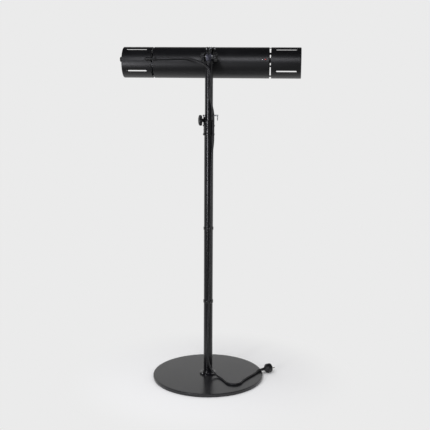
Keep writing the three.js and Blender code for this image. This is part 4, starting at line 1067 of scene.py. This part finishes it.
    def plug(self) -> bpy.types.Object:
        """Makes the round moulded plug that lies on the floor.

        Returns:
            The piece.
        """
        full, length = self.plug_radius, self.plug_length
        section = [(0, 0), (5.3, 0), (5.75, 0.5), (6.0, 6)]
        section += [(6.4, 10), (7.4, 14), (8.8, 18), (10.8, 21.5), (13.4, 24.5), (16.4, 27.2)]
        section += [(18.6, 29), (19.9, 30.6), (full - 0.3, 32.4), (full, 34.5)]
        section += [(full, length - 7), (full - 0.8, length - 6.6), (full - 0.8, length - 5.4)]
        section += [(full, length - 5), (full, length - 1.6), (full - 0.5, length - 0.5)]
        section += [(full - 1.6, length), (17.2, length), (16.6, length - 0.8), (0, length - 0.8)]
        form = Form().turned(section, 96, self.plug_place)
        return form.object("plug_moulding", PLUG_PVC, 40)

    def plug_grips(self) -> bpy.types.Object:
        """Makes the raised grip ribs round the plug's shoulder, as copies by rule.

        Returns:
            The piece.
        """
        line = [Vector((r, 0, h)) for r, h in ((11.6, 22.6), (14.0, 25.2), (16.9, 27.8),
                                               (18.9, 29.6), (20.1, 31.8))]
        radii = [0.5, 1.1, 1.3, 1.2, 0.5]
        rib = Form().tube(line, radii, 8).object("plug_grip_ribs", PLUG_PVC, 60)
        rule = Repeater(18, turn=(0, 0, 2 * math.pi / 18))
        return rule.spread(rib, PLUG_PVC, self.plug_place)

    def build(self) -> None:
        """Makes the whole lead with what is on it."""
        head, head_line = self.stretch("lead_to_bracket", self.head_points())
        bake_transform(head)
        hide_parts("lead_head")
        mast, mast_line = self.stretch("lead_down_mast", self.mast_points())
        carried(mast, "mast", "lead_jacket", "lead_mast")
        lower, lower_line = self.stretch("lead_over_base", self.lower_points())
        carried(lower, "base", "lead_jacket", "lead_post", "lead_floor")
        plug = carried(self.plug(), "base", "black_plastic", "plug_body")
        grips = carried(self.plug_grips(), "base", "black_plastic", "plug_body")
        neck = self.relief("plug_strain_relief", lower_line[::-1], 5.9)
        carried(neck, "base", "black_plastic")
        pins = [dressed_node(name, PIN_NICKEL, 0.5) for name in ("plug_pin_left", "plug_pin_right")]
        self.declare(head, head_line)
        self.declare(mast, mast_line)
        self.declare(lower, lower_line)
        gland = self.relief("gland_strain_relief", head_line, 5.6)
        carried(gland, "head", "black_plastic")
        for name in ("lead_clip_upper", "lead_clip_lower"):
            dressed_node(name, MOULDED_NYLON, 0.3)


@dataclass
class Base:
    """The heavy round base with its rubber sheet and the flange that holds the post."""

    radius: float = 250.0
    sheet_top: float = 1.5
    edge: float = 2.5
    flange_radius: float = 38.0
    flange_thickness: float = 5.0
    socket_height: float = 14.0
    screw_circle: float = 60.0

    def plate(self) -> bpy.types.Object:
        """Makes the round plate with a rolled upper edge.

        Returns:
            The piece.
        """
        top, low, edge = AT.plate_top, self.sheet_top, self.edge
        section = [(0, low), (self.radius - 1.5, low), (self.radius - 0.4, low + 0.5),
                   (self.radius, low + 1.5)]
        for i in range(9):
            turn = math.pi / 2 * i / 8
            section.append((self.radius - edge + edge * math.cos(turn),
                            top - edge + edge * math.sin(turn)))
        section += [(self.radius - 12, top), (60, top), (0, top)]
        return Form().turned(section, 240).object("base_disc", BASE_COAT)

    def flange(self) -> bpy.types.Object:
        """Makes the flange with the raised socket round the post.

        Returns:
            The piece.
        """
        low = AT.plate_top
        high = low + self.flange_thickness
        top = low + self.socket_height
        bore = AT.lower_radius + SEAT_GAP
        wall = bore + 4
        section = [(bore, low), (self.flange_radius, low), (self.flange_radius, high - 1.4),
                   (self.flange_radius - 0.4, high - 0.4), (self.flange_radius - 1.4, high),
                   (wall + 2.2, high), (wall + 0.7, high + 0.7), (wall, high + 2.2),
                   (wall, top - 1.6), (wall - 0.5, top - 0.5), (wall - 1.6, top), (bore, top)]
        return Form().turned(section, 120).object("post_flange_cast", POST_ENAMEL, 40)

    def screws(self) -> bpy.types.Object:
        """Makes the flange's socket screws, as copies by rule.

        Returns:
            The piece.
        """
        high = AT.plate_top + self.flange_thickness
        place = Matrix.Translation(Vector((self.screw_circle / 2, 0, 0)))
        head = Form().turned([(0, high), (5.25, high), (5.25, high + 0.6), (5.0, high + 1.3),
                              (4.3, high + 2.3), (3.2, high + 3.0), (2.6, high + 3.3),
                              (0, high + 3.3)], 36, place)
        socket = Form().turned([(0, high + 1.2), (2.3, high + 1.2), (2.3, high + 4),
                                (0, high + 4)], 6, place)
        screw = head.cut(socket).object("flange_screws", BRIGHT_STEEL)
        quarter = math.pi / 2
        rule = Repeater(4, turn=(0, 0, quarter), first_turn=(0, 0, quarter / 2))
        return rule.spread(screw, BRIGHT_STEEL, Matrix())

    def build(self) -> None:
        """Makes the base."""
        dressed_node("anti_slip_sheet", SHEET_RUBBER, 0.3)
        carried(self.plate(), "base", "base_paint", "base_plate")
        carried(self.flange(), "base", "post_paint", "post_flange")
        names = [f"flange_screw_{i}" for i in (1, 2, 3, 4)]
        carried(self.screws(), "base", "zinc_steel", *names)


@dataclass
class Post:
    """The two tubes of the telescopic post."""

    wall: float = 1.5
    upper_length: float = 1100.0
    pin_bore: float = 3.3

    def tube(self, radius: float, low: float, high: float) -> Form:
        """Makes a plain tube with eased rims.

        Args:
            radius: Its outer radius.
            low: Where it starts.
            high: Where it ends.

        Returns:
            The tube.
        """
        bore = radius - self.wall
        return Form().turned([
            (bore, low), (radius - 0.3, low), (radius, low + 0.3), (radius, high - 0.3),
            (radius - 0.3, high), (bore + 0.2, high), (bore, high - 0.2),
        ], 96)

    def build(self) -> None:
        """Makes the tubes."""
        low = AT.plate_top
        outer = self.tube(AT.lower_radius, low, low + AT.lower_length)
        outer = outer.object("post_outer_tube", POST_ENAMEL)
        carried(outer, "base", "post_paint", "lower_tube")
        inner = self.tube(AT.upper_radius, AT.upper_top - self.upper_length, AT.upper_top)
        place = along((1, 0, 0), (-30, 0, AT.pin))
        hole = Form().turned([(0, 0), (self.pin_bore, 0), (self.pin_bore, 60), (0, 60)], 32, place)
        inner = inner.cut(hole).object("post_inner_tube", POST_ENAMEL)
        carried(inner, "mast", "post_paint", "upper_tube")
        dressed_node("guide_bush", MOULDED_NYLON, 0.3)


def lobed_rings(reach: float, lobes: int, dip: float, profile: Sequence[Corner],
                sides: int = 168) -> list[list[Vector]]:
    """Gives the rings of a hand knob whose lobes fade out towards its middle.

    Args:
        reach: The radius at the lobes' tips.
        lobes: How many lobes there are.
        dip: How far the hollows between them lie in.
        profile: (share of the reach, height) from the foot to the crown.
        sides: How many points a ring has.

    Returns:
        The rings.
    """
    rings = []
    for share, height in profile:
        if share < 1e-6:
            rings.append([Vector((0, 0, height))])
            continue
        depth = dip * max(0.0, (share - 0.45) / 0.55) ** 1.3
        ring = []
        for i in range(sides):
            turn = 2 * math.pi * i / sides
            wave = (1 - math.cos(lobes * turn)) / 2
            radius = reach * share - 2 * depth * wave ** 1.35
            ring.append(Vector((radius * math.cos(turn), radius * math.sin(turn), height)))
        rings.append(ring)
    return rings


@dataclass
class ClampCollar:
    """The moulded collar that clamps the sliding tube, with its knob, its bush and the pin."""

    azimuth: float = 12.0
    radius: float = 23.2
    band: float = 2.4
    lug_radius: float = 18.0
    lug_stands_out: float = 1.3
    boss_radius: float = 8.0
    boss_reach: float = 28.0
    knob_reach: float = 25.0
    ear_radius: float = 3.4
    ear_reach: float = 26.2
    ear_height: float = 42.0
    ridge_height: float = 24.0

    @property
    def out(self) -> Vector:
        """The direction in which the clamp screw points away from the post."""
        turn = math.radians(180 + self.azimuth)
        return Vector((math.cos(turn), math.sin(turn), 0))

    def collar(self) -> bpy.types.Object:
        """Makes the collar: a ribbed sleeve with a band, two ears and a round lug.

        Returns:
            The piece.
        """
        foot, top = AT.collar_foot, AT.collar_top
        bore, wall = AT.lower_radius + SEAT_GAP, self.radius
        band = wall + self.band
        ridge = foot + self.ridge_height
        form = Form().turned([
            (bore, foot), (band - 1.2, foot), (band, foot + 1.6), (band, foot + 8),
            (wall, foot + 10), (wall, ridge - 1.6), (wall + 1.0, ridge - 0.6),
            (wall + 1.0, ridge + 0.6), (wall, ridge + 1.6), (wall, top - 5.5),
            (wall + 0.9, top - 4), (wall + 0.9, top), (bore, top),
        ], 128)
        for side in (-1, 1):
            ear = [(0, bore + 0.8), (self.ear_radius, bore + 0.8),
                   (self.ear_radius, self.ear_reach - 1), (self.ear_radius - 1, self.ear_reach),
                   (0, self.ear_reach)]
            form.turned(ear, 32, along((side, 0, 0), (0, 0, foot + self.ear_height)))
        clamp = along(self.out, (0, 0, AT.clamp))
        form.turned([(self.boss_radius - 3.2, bore + 0.6), (self.boss_radius, bore + 0.6),
                     (self.boss_radius, self.boss_reach - 0.8),
                     (self.boss_radius - 0.8, self.boss_reach),
                     (self.boss_radius - 1.8, self.boss_reach),
                     (self.boss_radius - 1.8, self.boss_reach - 5),
                     (self.boss_radius - 3.2, self.boss_reach - 5)], 48, clamp)
        self._lug(form, bore + 0.15)
        for k in range(3):
            self._rib(form, foot + self.ear_height - 11.2 + 8 * k)
        return form.melted(0.55, 4).object("clamp_collar_moulding", GLOSSY_NYLON, 70)

    def _lug(self, form: Form, bore: float) -> None:
        """Adds the round pad about the clamp screw, bent round the post.

        Args:
            form: The form that gets it.
            bore: The radius of its inner face.
        """
        outer = self.radius + self.lug_stands_out
        middle = 180 + self.azimuth
        steps = 40
        half_span = math.asin(self.lug_radius / outer)
        for i in range(steps):
            low, high = (half_span * (2 * k / steps - 1) for k in (i, i + 1))
            centre = (low + high) / 2
            rise = self.lug_radius ** 2 - (outer * math.sin(centre)) ** 2
            rise = math.sqrt(max(rise, 0.25))
            turns = [math.radians(middle) + low - 0.004, math.radians(middle) + high + 0.004]
            outline = [(r * math.cos(a), r * math.sin(a))
                       for r, a in ((bore, turns[0]), (outer, turns[0]), (outer, turns[1]),
                                    (bore, turns[1]))]
            form.pulled(outline, AT.clamp - rise, AT.clamp + rise)

    def _rib(self, form: Form, height: float) -> None:
        """Adds one of the short grip ribs on the back of the collar.

        Args:
            form: The form that gets it.
            height: Where the rib starts.
        """
        middle = math.radians(-108)
        turns = [middle - 0.15, middle + 0.15]
        outline = [(r * math.cos(a), r * math.sin(a))
                   for r, a in ((self.radius - 1, turns[0]), (self.radius + 0.9, turns[0]),
                                (self.radius + 0.9, turns[1]), (self.radius - 1, turns[1]))]
        form.pulled(outline, height, height + 2.4)

    def bush(self) -> bpy.types.Object:
        """Makes the bush that guides the sliding tube, with its rim above the collar.

        Returns:
            The piece.
        """
        bore = AT.upper_radius + 0.25
        outer = AT.lower_radius
        low = AT.plate_top + AT.lower_length + SEAT_GAP
        top = AT.bush_top
        section = [(bore, low), (outer, low), (outer, top - 0.8), (outer - 0.8, top),
                   (bore + 0.6, top), (bore, top - 0.6)]
        return Form().turned(section, 96).object("guide_bush_upper", MOULDED_NYLON)

    def knob(self) -> bpy.types.Object:
        """Makes the six-lobed hand knob of the clamp screw.

        Returns:
            The piece.
        """
        profile = [(0.0, 0.0), (0.30, 0.0), (0.34, 0.4), (0.60, 1.1), (0.84, 2.0), (0.94, 3.2),
                   (0.985, 4.8), (1.0, 6.8), (1.0, 10.6), (0.985, 12.1), (0.95, 13.4),
                   (0.88, 14.6), (0.76, 15.8), (0.60, 16.9), (0.42, 17.8), (0.2, 18.35),
                   (0.0, 18.5)]
        start = self.boss_reach + SEAT_GAP
        place = along(self.out, Vector((0, 0, AT.clamp)) + self.out * start)
        form = Form().loft(lobed_rings(self.knob_reach, 6, 3.6, profile), place=place)
        return form.object("clamp_hand_knob", MOULDED_NYLON, 50)

    def pin(self) -> bpy.types.Object:
        """Makes the safety pin with its tapered nose and the eye for the ring.

        Returns:
            The piece.
        """
        place = along((1, 0, 0), (0, 0, AT.pin))
        form = Form().turned([
            (0, -27), (1.6, -27), (2.4, -26.2), (3.0, -24), (3.0, 24.6), (2.6, 25), (2.6, 26.4),
            (3.0, 26.8), (3.0, 40), (2.4, 41), (0, 41),
        ], 48, place)
        hole = Form().turned([(0, -6), (1.6, -6), (1.6, 6), (0, 6)], 24,
                             along((0, 1, 0), (37.7, 0, AT.pin)))
        return form.cut(hole).object("safety_pin_turned", ZINC_PLATE)

    def ring(self) -> bpy.types.Object:
        """Makes the pull ring of sprung wire that hangs in the pin's eye.

        Returns:
            The piece.
        """
        rings = []
        for i in range(72):
            turn = 2 * math.pi * i / 72
            middle = Vector((37.7, 11 * math.sin(turn), AT.pin - 11 + 11 * math.cos(turn)))
            outward = Vector((0, math.sin(turn), math.cos(turn)))
            rings.append([middle + 1.1 * (math.cos(a) * outward + math.sin(a) * Vector((1, 0, 0)))
                          for a in (2 * math.pi * k / 14 for k in range(14))])
        return Form().loft(rings, close=True).object("pull_ring_wire", ZINC_PLATE, 70)

    def build(self) -> None:
        """Makes the collar and what it holds."""
        carried(self.collar(), "base", "black_plastic", "clamp_collar")
        carried(self.bush(), "base", "black_plastic", "collar_bush")
        dressed_node("clamp_nut", TURNED_BRASS, 0.3)
        dressed_node("clamp_shoe", TURNED_BRASS, 0.3)
        dressed_node("clamp_stud", BRIGHT_STEEL, 0.3)
        carried(self.knob(), "clamp_screw", "black_plastic", "clamp_knob")
        carried(self.pin(), "locking_pin", "zinc_steel", "safety_pin")
        carried(self.ring(), "pin_ring", "zinc_steel", "pull_ring")


@dataclass
class TiltBracket:
    """The fork on the mast, its two hand knobs, and the tongue and saddle of the head."""

    knob_reach: float = 19.0
    knob_start: float = 14.6

    def cap(self) -> bpy.types.Object:
        """Makes the moulded cap that closes the mast's top.

        Returns:
            The piece.
        """
        low, top = AT.upper_top, AT.fork_foot
        bore, plug, rim = 12.3, 15.7, 18.2
        section = [(bore, low - 40), (plug, low - 40), (plug, low), (rim - 0.5, low),
                   (rim, low + 0.5), (rim, top - 2.2), (rim - 0.4, top - 1), (rim - 1.2, top - 0.3),
                   (rim - 2.2, top), (bore, top)]
        return Form().turned(section, 96).object("mast_cap_moulding", MOULDED_NYLON)

    def knob(self, side: int, name: str) -> bpy.types.Object:
        """Makes one of the two seven-lobed tilt knobs.

        Args:
            side: -1 for the left knob, 1 for the right.
            name: The piece's name.

        Returns:
            The piece.
        """
        profile = [(0.0, 0.0), (0.5, 0.0), (0.53, 0.5), (0.53, 3.4), (0.62, 4.0), (0.86, 4.3),
                   (0.95, 5.0), (0.99, 6.4), (1.0, 8.4), (1.0, 15.0), (0.985, 17.0),
                   (0.94, 18.4), (0.86, 19.2), (0.7, 19.6), (0.6, 19.9), (0.58, 20.8),
                   (0.5, 21.6), (0.3, 22.3), (0.0, 22.5)]
        place = along((side, 0, 0), (side * self.knob_start, 0, AT.pivot))
        form = Form().loft(lobed_rings(self.knob_reach, 7, 1.5, profile), place=place)
        return form.object(name, MOULDED_NYLON, 50)

    def build(self) -> None:
        """Makes the bracket."""
        carried(self.cap(), "mast", "black_plastic", "mast_cap")
        dressed_node("mast_fork", CAST_ALUMINIUM, 0.7)
        dressed_node("tilt_bolt", BRIGHT_STEEL, 0.4)
        for name in ("tilt_washer_left", "tilt_washer_right"):
            dressed_node(name, ZINC_PLATE, 0.4)
        left = self.knob(-1, "tilt_hand_knob_left")
        carried(left, "left_tilt_knob", "black_plastic", "tilt_knob_left")
        right = self.knob(1, "tilt_hand_knob_right")
        carried(right, "right_tilt_knob", "black_plastic", "tilt_knob_right")
        dressed_node("tilt_tongue", ZINC_PLATE, 0.3)
        dressed_node("head_saddle", HEAD_ENAMEL, 0.3)
        dressed_node("cross_bolt", ZINC_PLATE, 0.4)
        dressed_node("cross_nut", ZINC_PLATE, 0.4)


@dataclass
class HeatingHead:
    """The tube-shaped head: housing, slotted end caps, spacer rings, heater and controls."""

    radius: float = AT.head_radius
    wall: float = 1.5
    half: float = AT.head_half
    cap_length: float = AT.cap_length
    ring_gap: float = 9.0
    window_half: float = 228.0
    window_height: float = 98.0
    slot_length: float = 91.5
    slot_width: float = 8.0
    upper_slot: float = 57.2
    front_slots_longer: float = 15.0
    lower_slot: float = 33.2
    bridges: int = 7
    sleeve: float = 7.0
    bulkhead_thickness: float = 2.0
    holder_length: float = 11.0
    lamp_in_holder: float = 6.0
    coil_inset: float = 2.0
    lamp_forward: float = 4.0
    control_above: float = 13.0
    gland_radius: float = 6.5

    @property
    def cap_start(self) -> float:
        """How far from the middle the end caps start."""
        return self.half - self.cap_length

    @property
    def housing_end(self) -> float:
        """How far from the middle the housing ends."""
        return self.cap_start - self.ring_gap

    @property
    def bulkhead_inner(self) -> float:
        """How far from the middle the bulkheads' inner faces lie."""
        return self.housing_end - self.sleeve - self.bulkhead_thickness - 2 * SEAT_GAP

    @property
    def spacer_outside(self) -> float:
        """The outer radius of the spacer rings."""
        return self.radius - self.wall - SEAT_GAP

    @property
    def guard_reach(self) -> float:
        """How far from the head's middle the guard's wires lie."""
        return self.spacer_outside - 1.5

    @property
    def guard_half_angle(self) -> float:
        """How far above and below the middle the guard's wires reach, in radians."""
        return math.asin((self.window_height / 2 + 2.2) / self.guard_reach)

    @property
    def control_place(self) -> Matrix:
        """The placement of the control knob on the left end."""
        spot = Vector((-self.half - SEAT_GAP, AT.head_forward, AT.head + self.control_above))
        return along((-1, 0, 0), spot)

    def on_head(self, side: int = 1) -> Matrix:
        """Gives the placement that lays +Z along the head, to the right or to the left."""
        turn = Matrix.Rotation(math.pi, 4, "Z") if side < 0 else Matrix()
        return HEAD_PLACE @ turn @ ALONG_X

    def housing(self) -> bpy.types.Object:
        """Makes the rolled steel housing with its long window at the front.

        Returns:
            The piece.
        """
        form = Form()
        end, half = self.housing_end, self.window_half
        edge = math.asin(self.window_height / 2 / self.radius)
        back = 120
        front = 36
        turns = [edge + (2 * math.pi - 2 * edge) * i / back for i in range(back + 1)]
        turns += [2 * math.pi - edge + 2 * edge * i / front for i in range(1, front)]
        stops = [-end, -half, half, end]
        rows = []
        for x in stops:
            rows.append([form.mesh.verts.new(HEAD_PLACE @ Vector((
                x, self.radius * math.cos(a), self.radius * math.sin(a)))) for a in turns])
        for k, (low, high) in enumerate(zip(rows, rows[1:])):
            for i in range(len(turns)):
                if k == 1 and i >= back:
                    continue
                j = (i + 1) % len(turns)
                form.mesh.faces.new((low[i], low[j], high[j], high[i]))
        bmesh.ops.recalc_face_normals(form.mesh, faces=form.mesh.faces)
        middle = Vector((0, AT.head_forward, AT.head))
        face = next(iter(form.mesh.faces))
        outward = face.calc_center_median() - middle
        outward.x = 0
        if face.normal.dot(outward) < 0:
            bmesh.ops.reverse_faces(form.mesh, faces=form.mesh.faces)
        bmesh.ops.solidify(form.mesh, geom=form.mesh.faces[:], thickness=self.wall)
        return form.object("head_housing_rolled", HEAD_ENAMEL)

    def slot(self, degrees: float, side: int) -> Form:
        """Makes the cutter for one round-ended slot through a cap's wall.

        Args:
            degrees: Its angle above the horizontal at the front.
            side: 1 for the right cap, -1 for the left.

        Returns:
            The cutter.
        """
        straight = self.slot_length / 2 - self.slot_width / 2
        longer = self.front_slots_longer if -90 < degrees < 90 else 0.0
        reach = {side: straight + longer, -side: straight}
        outline = []
        for end, first in ((1, -90), (-1, 90)):
            for i in range(13):
                turn = math.radians(first + 15 * i)
                outline.append((end * reach[end] + self.slot_width / 2 * math.cos(turn),
                                self.slot_width / 2 * math.sin(turn)))
        middle = side * (self.cap_start + self.cap_length / 2)
        place = HEAD_PLACE @ Matrix.Translation(Vector((middle, 0, 0)))
        place = place @ Matrix.Rotation(math.radians(degrees - 90), 4, "X")
        return Form().pulled(outline, self.radius - 12, self.radius + 4, place)

    def end_cap(self, side: int, name: str) -> bpy.types.Object:
        """Makes one deep-drawn end cap with its four see-through slots.

        Args:
            side: 1 for the right cap, -1 for the left.
            name: The piece's name.

        Returns:
            The piece.
        """
        bore, corner, crown = self.radius - self.wall, 3.6, 0.4
        shoulder = self.half - crown
        section = [(bore, self.cap_start), (self.radius - 0.3, self.cap_start),
                   (self.radius, self.cap_start + 0.3)]
        for i in range(9):
            turn = math.pi / 2 * i / 8
            section.append((self.radius - corner + corner * math.cos(turn),
                            shoulder - corner + corner * math.sin(turn)))
        for radius in (55, 48, 40, 32, 24, 16, 8, 0):
            share = radius / (self.radius - corner)
            section.append((radius, shoulder + crown * (1 - share ** 2)))
        section += [(0, shoulder - 2), (bore - 4.5, shoulder - 2), (bore, shoulder - 6.5)]
        # The section starts and ends off the axis, so the two middle corners become poles.
        cap = Form().turned(section, 192, self.on_head(side))
        angles = (self.upper_slot, 180 - self.upper_slot, -self.lower_slot, 180 + self.lower_slot)
        cap.cut(*[self.slot(angle, side) for angle in angles])
        return self.lined(cap.object(name, HEAD_ENAMEL))

    def lined(self, cap: bpy.types.Object) -> bpy.types.Object:
        """Gives a cap's inside its bare sheet finish.

        Args:
            cap: The cap.

        Returns:
            The same cap.
        """
        cap.data.materials.append(BARE_SHEET.material())
        for face in cap.data.polygons:
            out = Vector((0, face.center.y / MM - AT.head_forward, face.center.z / MM - AT.head))
            bore = abs(out.length - (self.radius - self.wall)) < 0.35
            if bore and face.normal.dot(out) < 0 and abs(face.normal.x) < 0.2:
                face.material_index = 1
        return cap

    def spacer(self, side: int, name: str) -> bpy.types.Object:
        """Makes the two sleeves of a spacer ring.

        Args:
            side: 1 for the right ring, -1 for the left.
            name: The piece's name.

        Returns:
            The piece.
        """
        outer = self.spacer_outside
        inner = outer - 3.7
        form = Form()
        for low, high in ((self.housing_end - self.sleeve, self.housing_end),
                          (self.cap_start, self.cap_start + self.sleeve)):
            form.turned([(inner, low), (outer, low), (outer, high), (inner, high)], 128,
                        self.on_head(side))
        return form.object(name, MOULDED_NYLON)

    def spacer_bars(self, side: int, name: str) -> bpy.types.Object:
        """Makes a spacer ring's bars, as copies by rule.

        Args:
            side: 1 for the right ring, -1 for the left.
            name: The piece's name.

        Returns:
            The piece.
        """
        outer = self.spacer_outside
        low, high = self.housing_end - 6, self.cap_start + 6
        bar = Form().pulled([(outer - 4, -3.75), (outer - 0.5, -3.75), (outer - 0.5, 3.75),
                             (outer - 4, 3.75)], low, high)
        step = 2 * math.pi / self.bridges
        rule = Repeater(self.bridges, turn=(0, 0, step), first_turn=(0, 0, math.pi))
        made = bar.object(name, MOULDED_NYLON)
        return rule.spread(made, MOULDED_NYLON, self.on_head(side))

    def guard(self) -> bpy.types.Object:
        """Makes the guard's arched wires, as copies by rule.

        Returns:
            The piece.
        """
        reach, half_angle = self.guard_reach, self.guard_half_angle
        line = [Vector((0, reach * math.cos(a), reach * math.sin(a)))
                for a in (half_angle * (2 * k / 28 - 1) for k in range(29))]
        arch = Form().tube(line, 1.2, 12).object("guard_wires", GUARD_NICKEL, 60)
        spacing = 2 * self.window_half / 16
        rule = Repeater(15, move=(spacing, 0, 0), first_move=(-7 * spacing, 0, 0))
        return rule.spread(arch, GUARD_NICKEL, HEAD_PLACE)

    def guard_rods(self) -> bpy.types.Object:
        """Makes the three long rods that the guard's wires are welded to.

        Returns:
            The piece.
        """
        reach, half_angle = self.guard_reach, self.guard_half_angle
        end = self.window_half + 8
        form = Form()
        for angle in (-half_angle, 0, half_angle):
            start = HEAD_PLACE @ Vector((-end, reach * math.cos(angle), reach * math.sin(angle)))
            form.turned([(0, 0), (1.1, 0), (1.5, 0.4), (1.5, 2 * end - 0.4), (1.1, 2 * end),
                         (0, 2 * end)], 16, along((1, 0, 0), start))
        return form.object("guard_rods", GUARD_NICKEL)

    def lamp(self) -> bpy.types.Object:
        """Makes the quartz tube of the heating lamp.

        Returns:
            The piece.
        """
        place = HEAD_PLACE @ Matrix.Translation(Vector((0, self.lamp_forward, 0))) @ ALONG_X
        half = self.bulkhead_inner - SEAT_GAP - self.holder_length + self.lamp_in_holder
        form = Form().turned([(6.3, -half), (7.5, -half), (7.5, half), (6.3, half)], 64, place)
        return form.object("lamp_quartz_tube", QUARTZ_GLASS)

    def filament(self) -> bpy.types.Object:
        """Winds the lamp's heating coil.

        Returns:
            The piece.
        """
        length = 2 * (self.bulkhead_inner - SEAT_GAP - self.coil_inset - SEAT_GAP)
        start = HEAD_PLACE @ Vector((-length / 2, self.lamp_forward, 0))
        coil = Coil(turns=150, radius=1.15, length=length, wire=0.34)
        return coil.object("lamp_heating_coil", HEATING_WIRE, along((1, 0, 0), start))

    def control(self) -> bpy.types.Object:
        """Makes the fluted control knob on the left end.

        Returns:
            The piece.
        """
        profile = [(0.0, 0.0), (0.96, 0.0), (1.0, 0.5), (1.0, 2.8), (0.96, 3.4), (0.9, 4.2),
                   (0.88, 5.5), (0.84, 15.4), (0.8, 16.5), (0.74, 17.0), (0.66, 17.0),
                   (0.62, 16.4), (0.0, 16.4)]
        rings = []
        for share, height in profile:
            if not share:
                rings.append([Vector((0, 0, height))])
                continue
            dip = 0.42 if 4.0 < height < 16.6 and share > 0.75 else 0.0
            rings.append([
                Vector((r * math.cos(a), r * math.sin(a), height))
                for a in (2 * math.pi * i / 192 for i in range(192))
                for r in (13 * share - dip * (0.5 + 0.5 * math.cos(24 * a)),)
            ])
        form = Form().loft(rings, place=self.control_place)
        return form.object("control_knob_fluted", MOULDED_NYLON, 45)

    def control_mark(self) -> bpy.types.Object:
        """Makes the control knob's raised pointer.

        Returns:
            The piece.
        """
        form = Form().pulled([(-0.8, 3), (0.8, 3), (0.8, 9.4), (0, 10.4), (-0.8, 9.4)],
                             16.2, 16.9, self.control_place)
        return form.object("control_pointer", STEATITE)

    def gland(self) -> bpy.types.Object:
        """Makes the cord gland's stem, elbow and nose.

        Returns:
            The piece.
        """
        x, back, height = Lead().gland_exit()
        start_x = x - AT.gland_nose - SEAT_GAP
        centre = Vector((start_x, back, height))
        stem, nose = self.gland_radius, AT.gland_nose
        inside = AT.head_forward - math.sqrt(self.radius ** 2 - AT.gland_above ** 2) + 8
        form = Form().turned([(0, 0), (stem, 0), (stem, inside - back), (0, inside - back)], 40,
                             along((0, 1, 0), centre))
        form.turned([(0, 0), (stem, 0), (6.4, 4), (6.1, 9), (5.6, nose), (0, nose)], 40,
                    along((1, 0, 0), centre))
        ball = [(stem * math.sin(math.pi * i / 16), -stem * math.cos(math.pi * i / 16))
                for i in range(17)]
        ball[0], ball[-1] = (0, -stem), (0, stem)
        form.turned(ball, 40, Matrix.Translation(centre))
        flat = back + AT.gland_standoff - 1.2
        nut = along((0, 1, 0), (start_x, flat - 1.0, height))
        form.turned([(6, 0), (9, 0), (9, 2.2), (6, 2.2)], 6, nut)
        return form.object("cord_gland_moulding", MOULDED_NYLON, 40)

    def screws(self, side: int) -> None:
        """Makes the small screws beside a ring gap, on the head's back.

        Args:
            side: 1 for the right gap, -1 for the left.
        """
        label = "right" if side > 0 else "left"
        angle = math.asin(14.7 / self.radius)
        out = Vector((0, -math.cos(angle), math.sin(angle)))
        for x, finish, word in ((227.0, ZINC_PLATE, "zinc"), (239.5, RED_LACQUER, "sealed")):
            start = HEAD_PLACE @ (Vector((side * x, 0, 0)) + out * (self.radius - 0.4))
            form = Form().turned([(0, 0), (3.1, 0), (3.1, 0.7), (2.8, 1.4), (2.1, 1.95),
                                  (1.1, 2.2), (0, 2.25)], 28, along(out, start))
            if finish is ZINC_PLATE:
                for turn in (0, math.pi / 2):
                    place = along(out, start) @ Matrix.Rotation(turn, 4, "Z")
                    form.cut(Form().pulled([(-2, -0.35), (2, -0.35), (2, 0.35), (-2, 0.35)],
                                           1.3, 3, place))
            name = f"housing_screw_{word}_{label}"
            carried(form.object(name, finish), "head", "zinc_steel")

    def build(self) -> None:
        """Makes the head."""
        carried(self.housing(), "head", "head_enamel", "housing")
        for side, label in ((1, "right"), (-1, "left")):
            cap = self.end_cap(side, f"end_cap_drawn_{label}")
            carried(cap, "head", "head_enamel", f"end_cap_{label}")
            ring = f"spacer_ring_{label}"
            carried(self.spacer(side, f"spacer_sleeves_{label}"), "head", "black_plastic", ring)
            bars = self.spacer_bars(side, f"spacer_bars_{label}")
            carried(bars, "head", "black_plastic", ring)
            dressed_node(f"bulkhead_{label}", ZINC_PLATE, 0.3)
            dressed_node(f"lamp_holder_{label}", STEATITE, 0.4)
            self.screws(side)
        dressed_node("wire_duct", MOULDED_NYLON, 0.3)
        dressed_node("reflector", REFLECTOR_SHEET, 0)
        carried(self.lamp(), "head", "quartz_glass", "lamp_tube")
        carried(self.filament(), "head", "filament_metal", "filament")
        carried(self.guard(), "head", "guard_steel", "guard")
        carried(self.guard_rods(), "head", "guard_steel", "guard")
        dressed_node("rotary_switch", MOULDED_NYLON, 0.4)
        dressed_node("terminal_block", STEATITE, 0.4)
        carried(self.control(), "power_control", "black_plastic", "control_knob")
        carried(self.control_mark(), "power_control", "ceramic")
        carried(self.gland(), "head", "black_plastic", "cord_gland")


def main() -> None:
    """Builds the scene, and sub-assembly by sub-assembly."""
    PhotoCamera().build()
    Lead().build()
    Studio().build()
    Base().build()
    Post().build()
    ClampCollar().build()
    TiltBracket().build()
    HeatingHead().build()


if __name__ == "__main__":
    logging.basicConfig(level=logging.INFO, format="%(message)s")
    main()
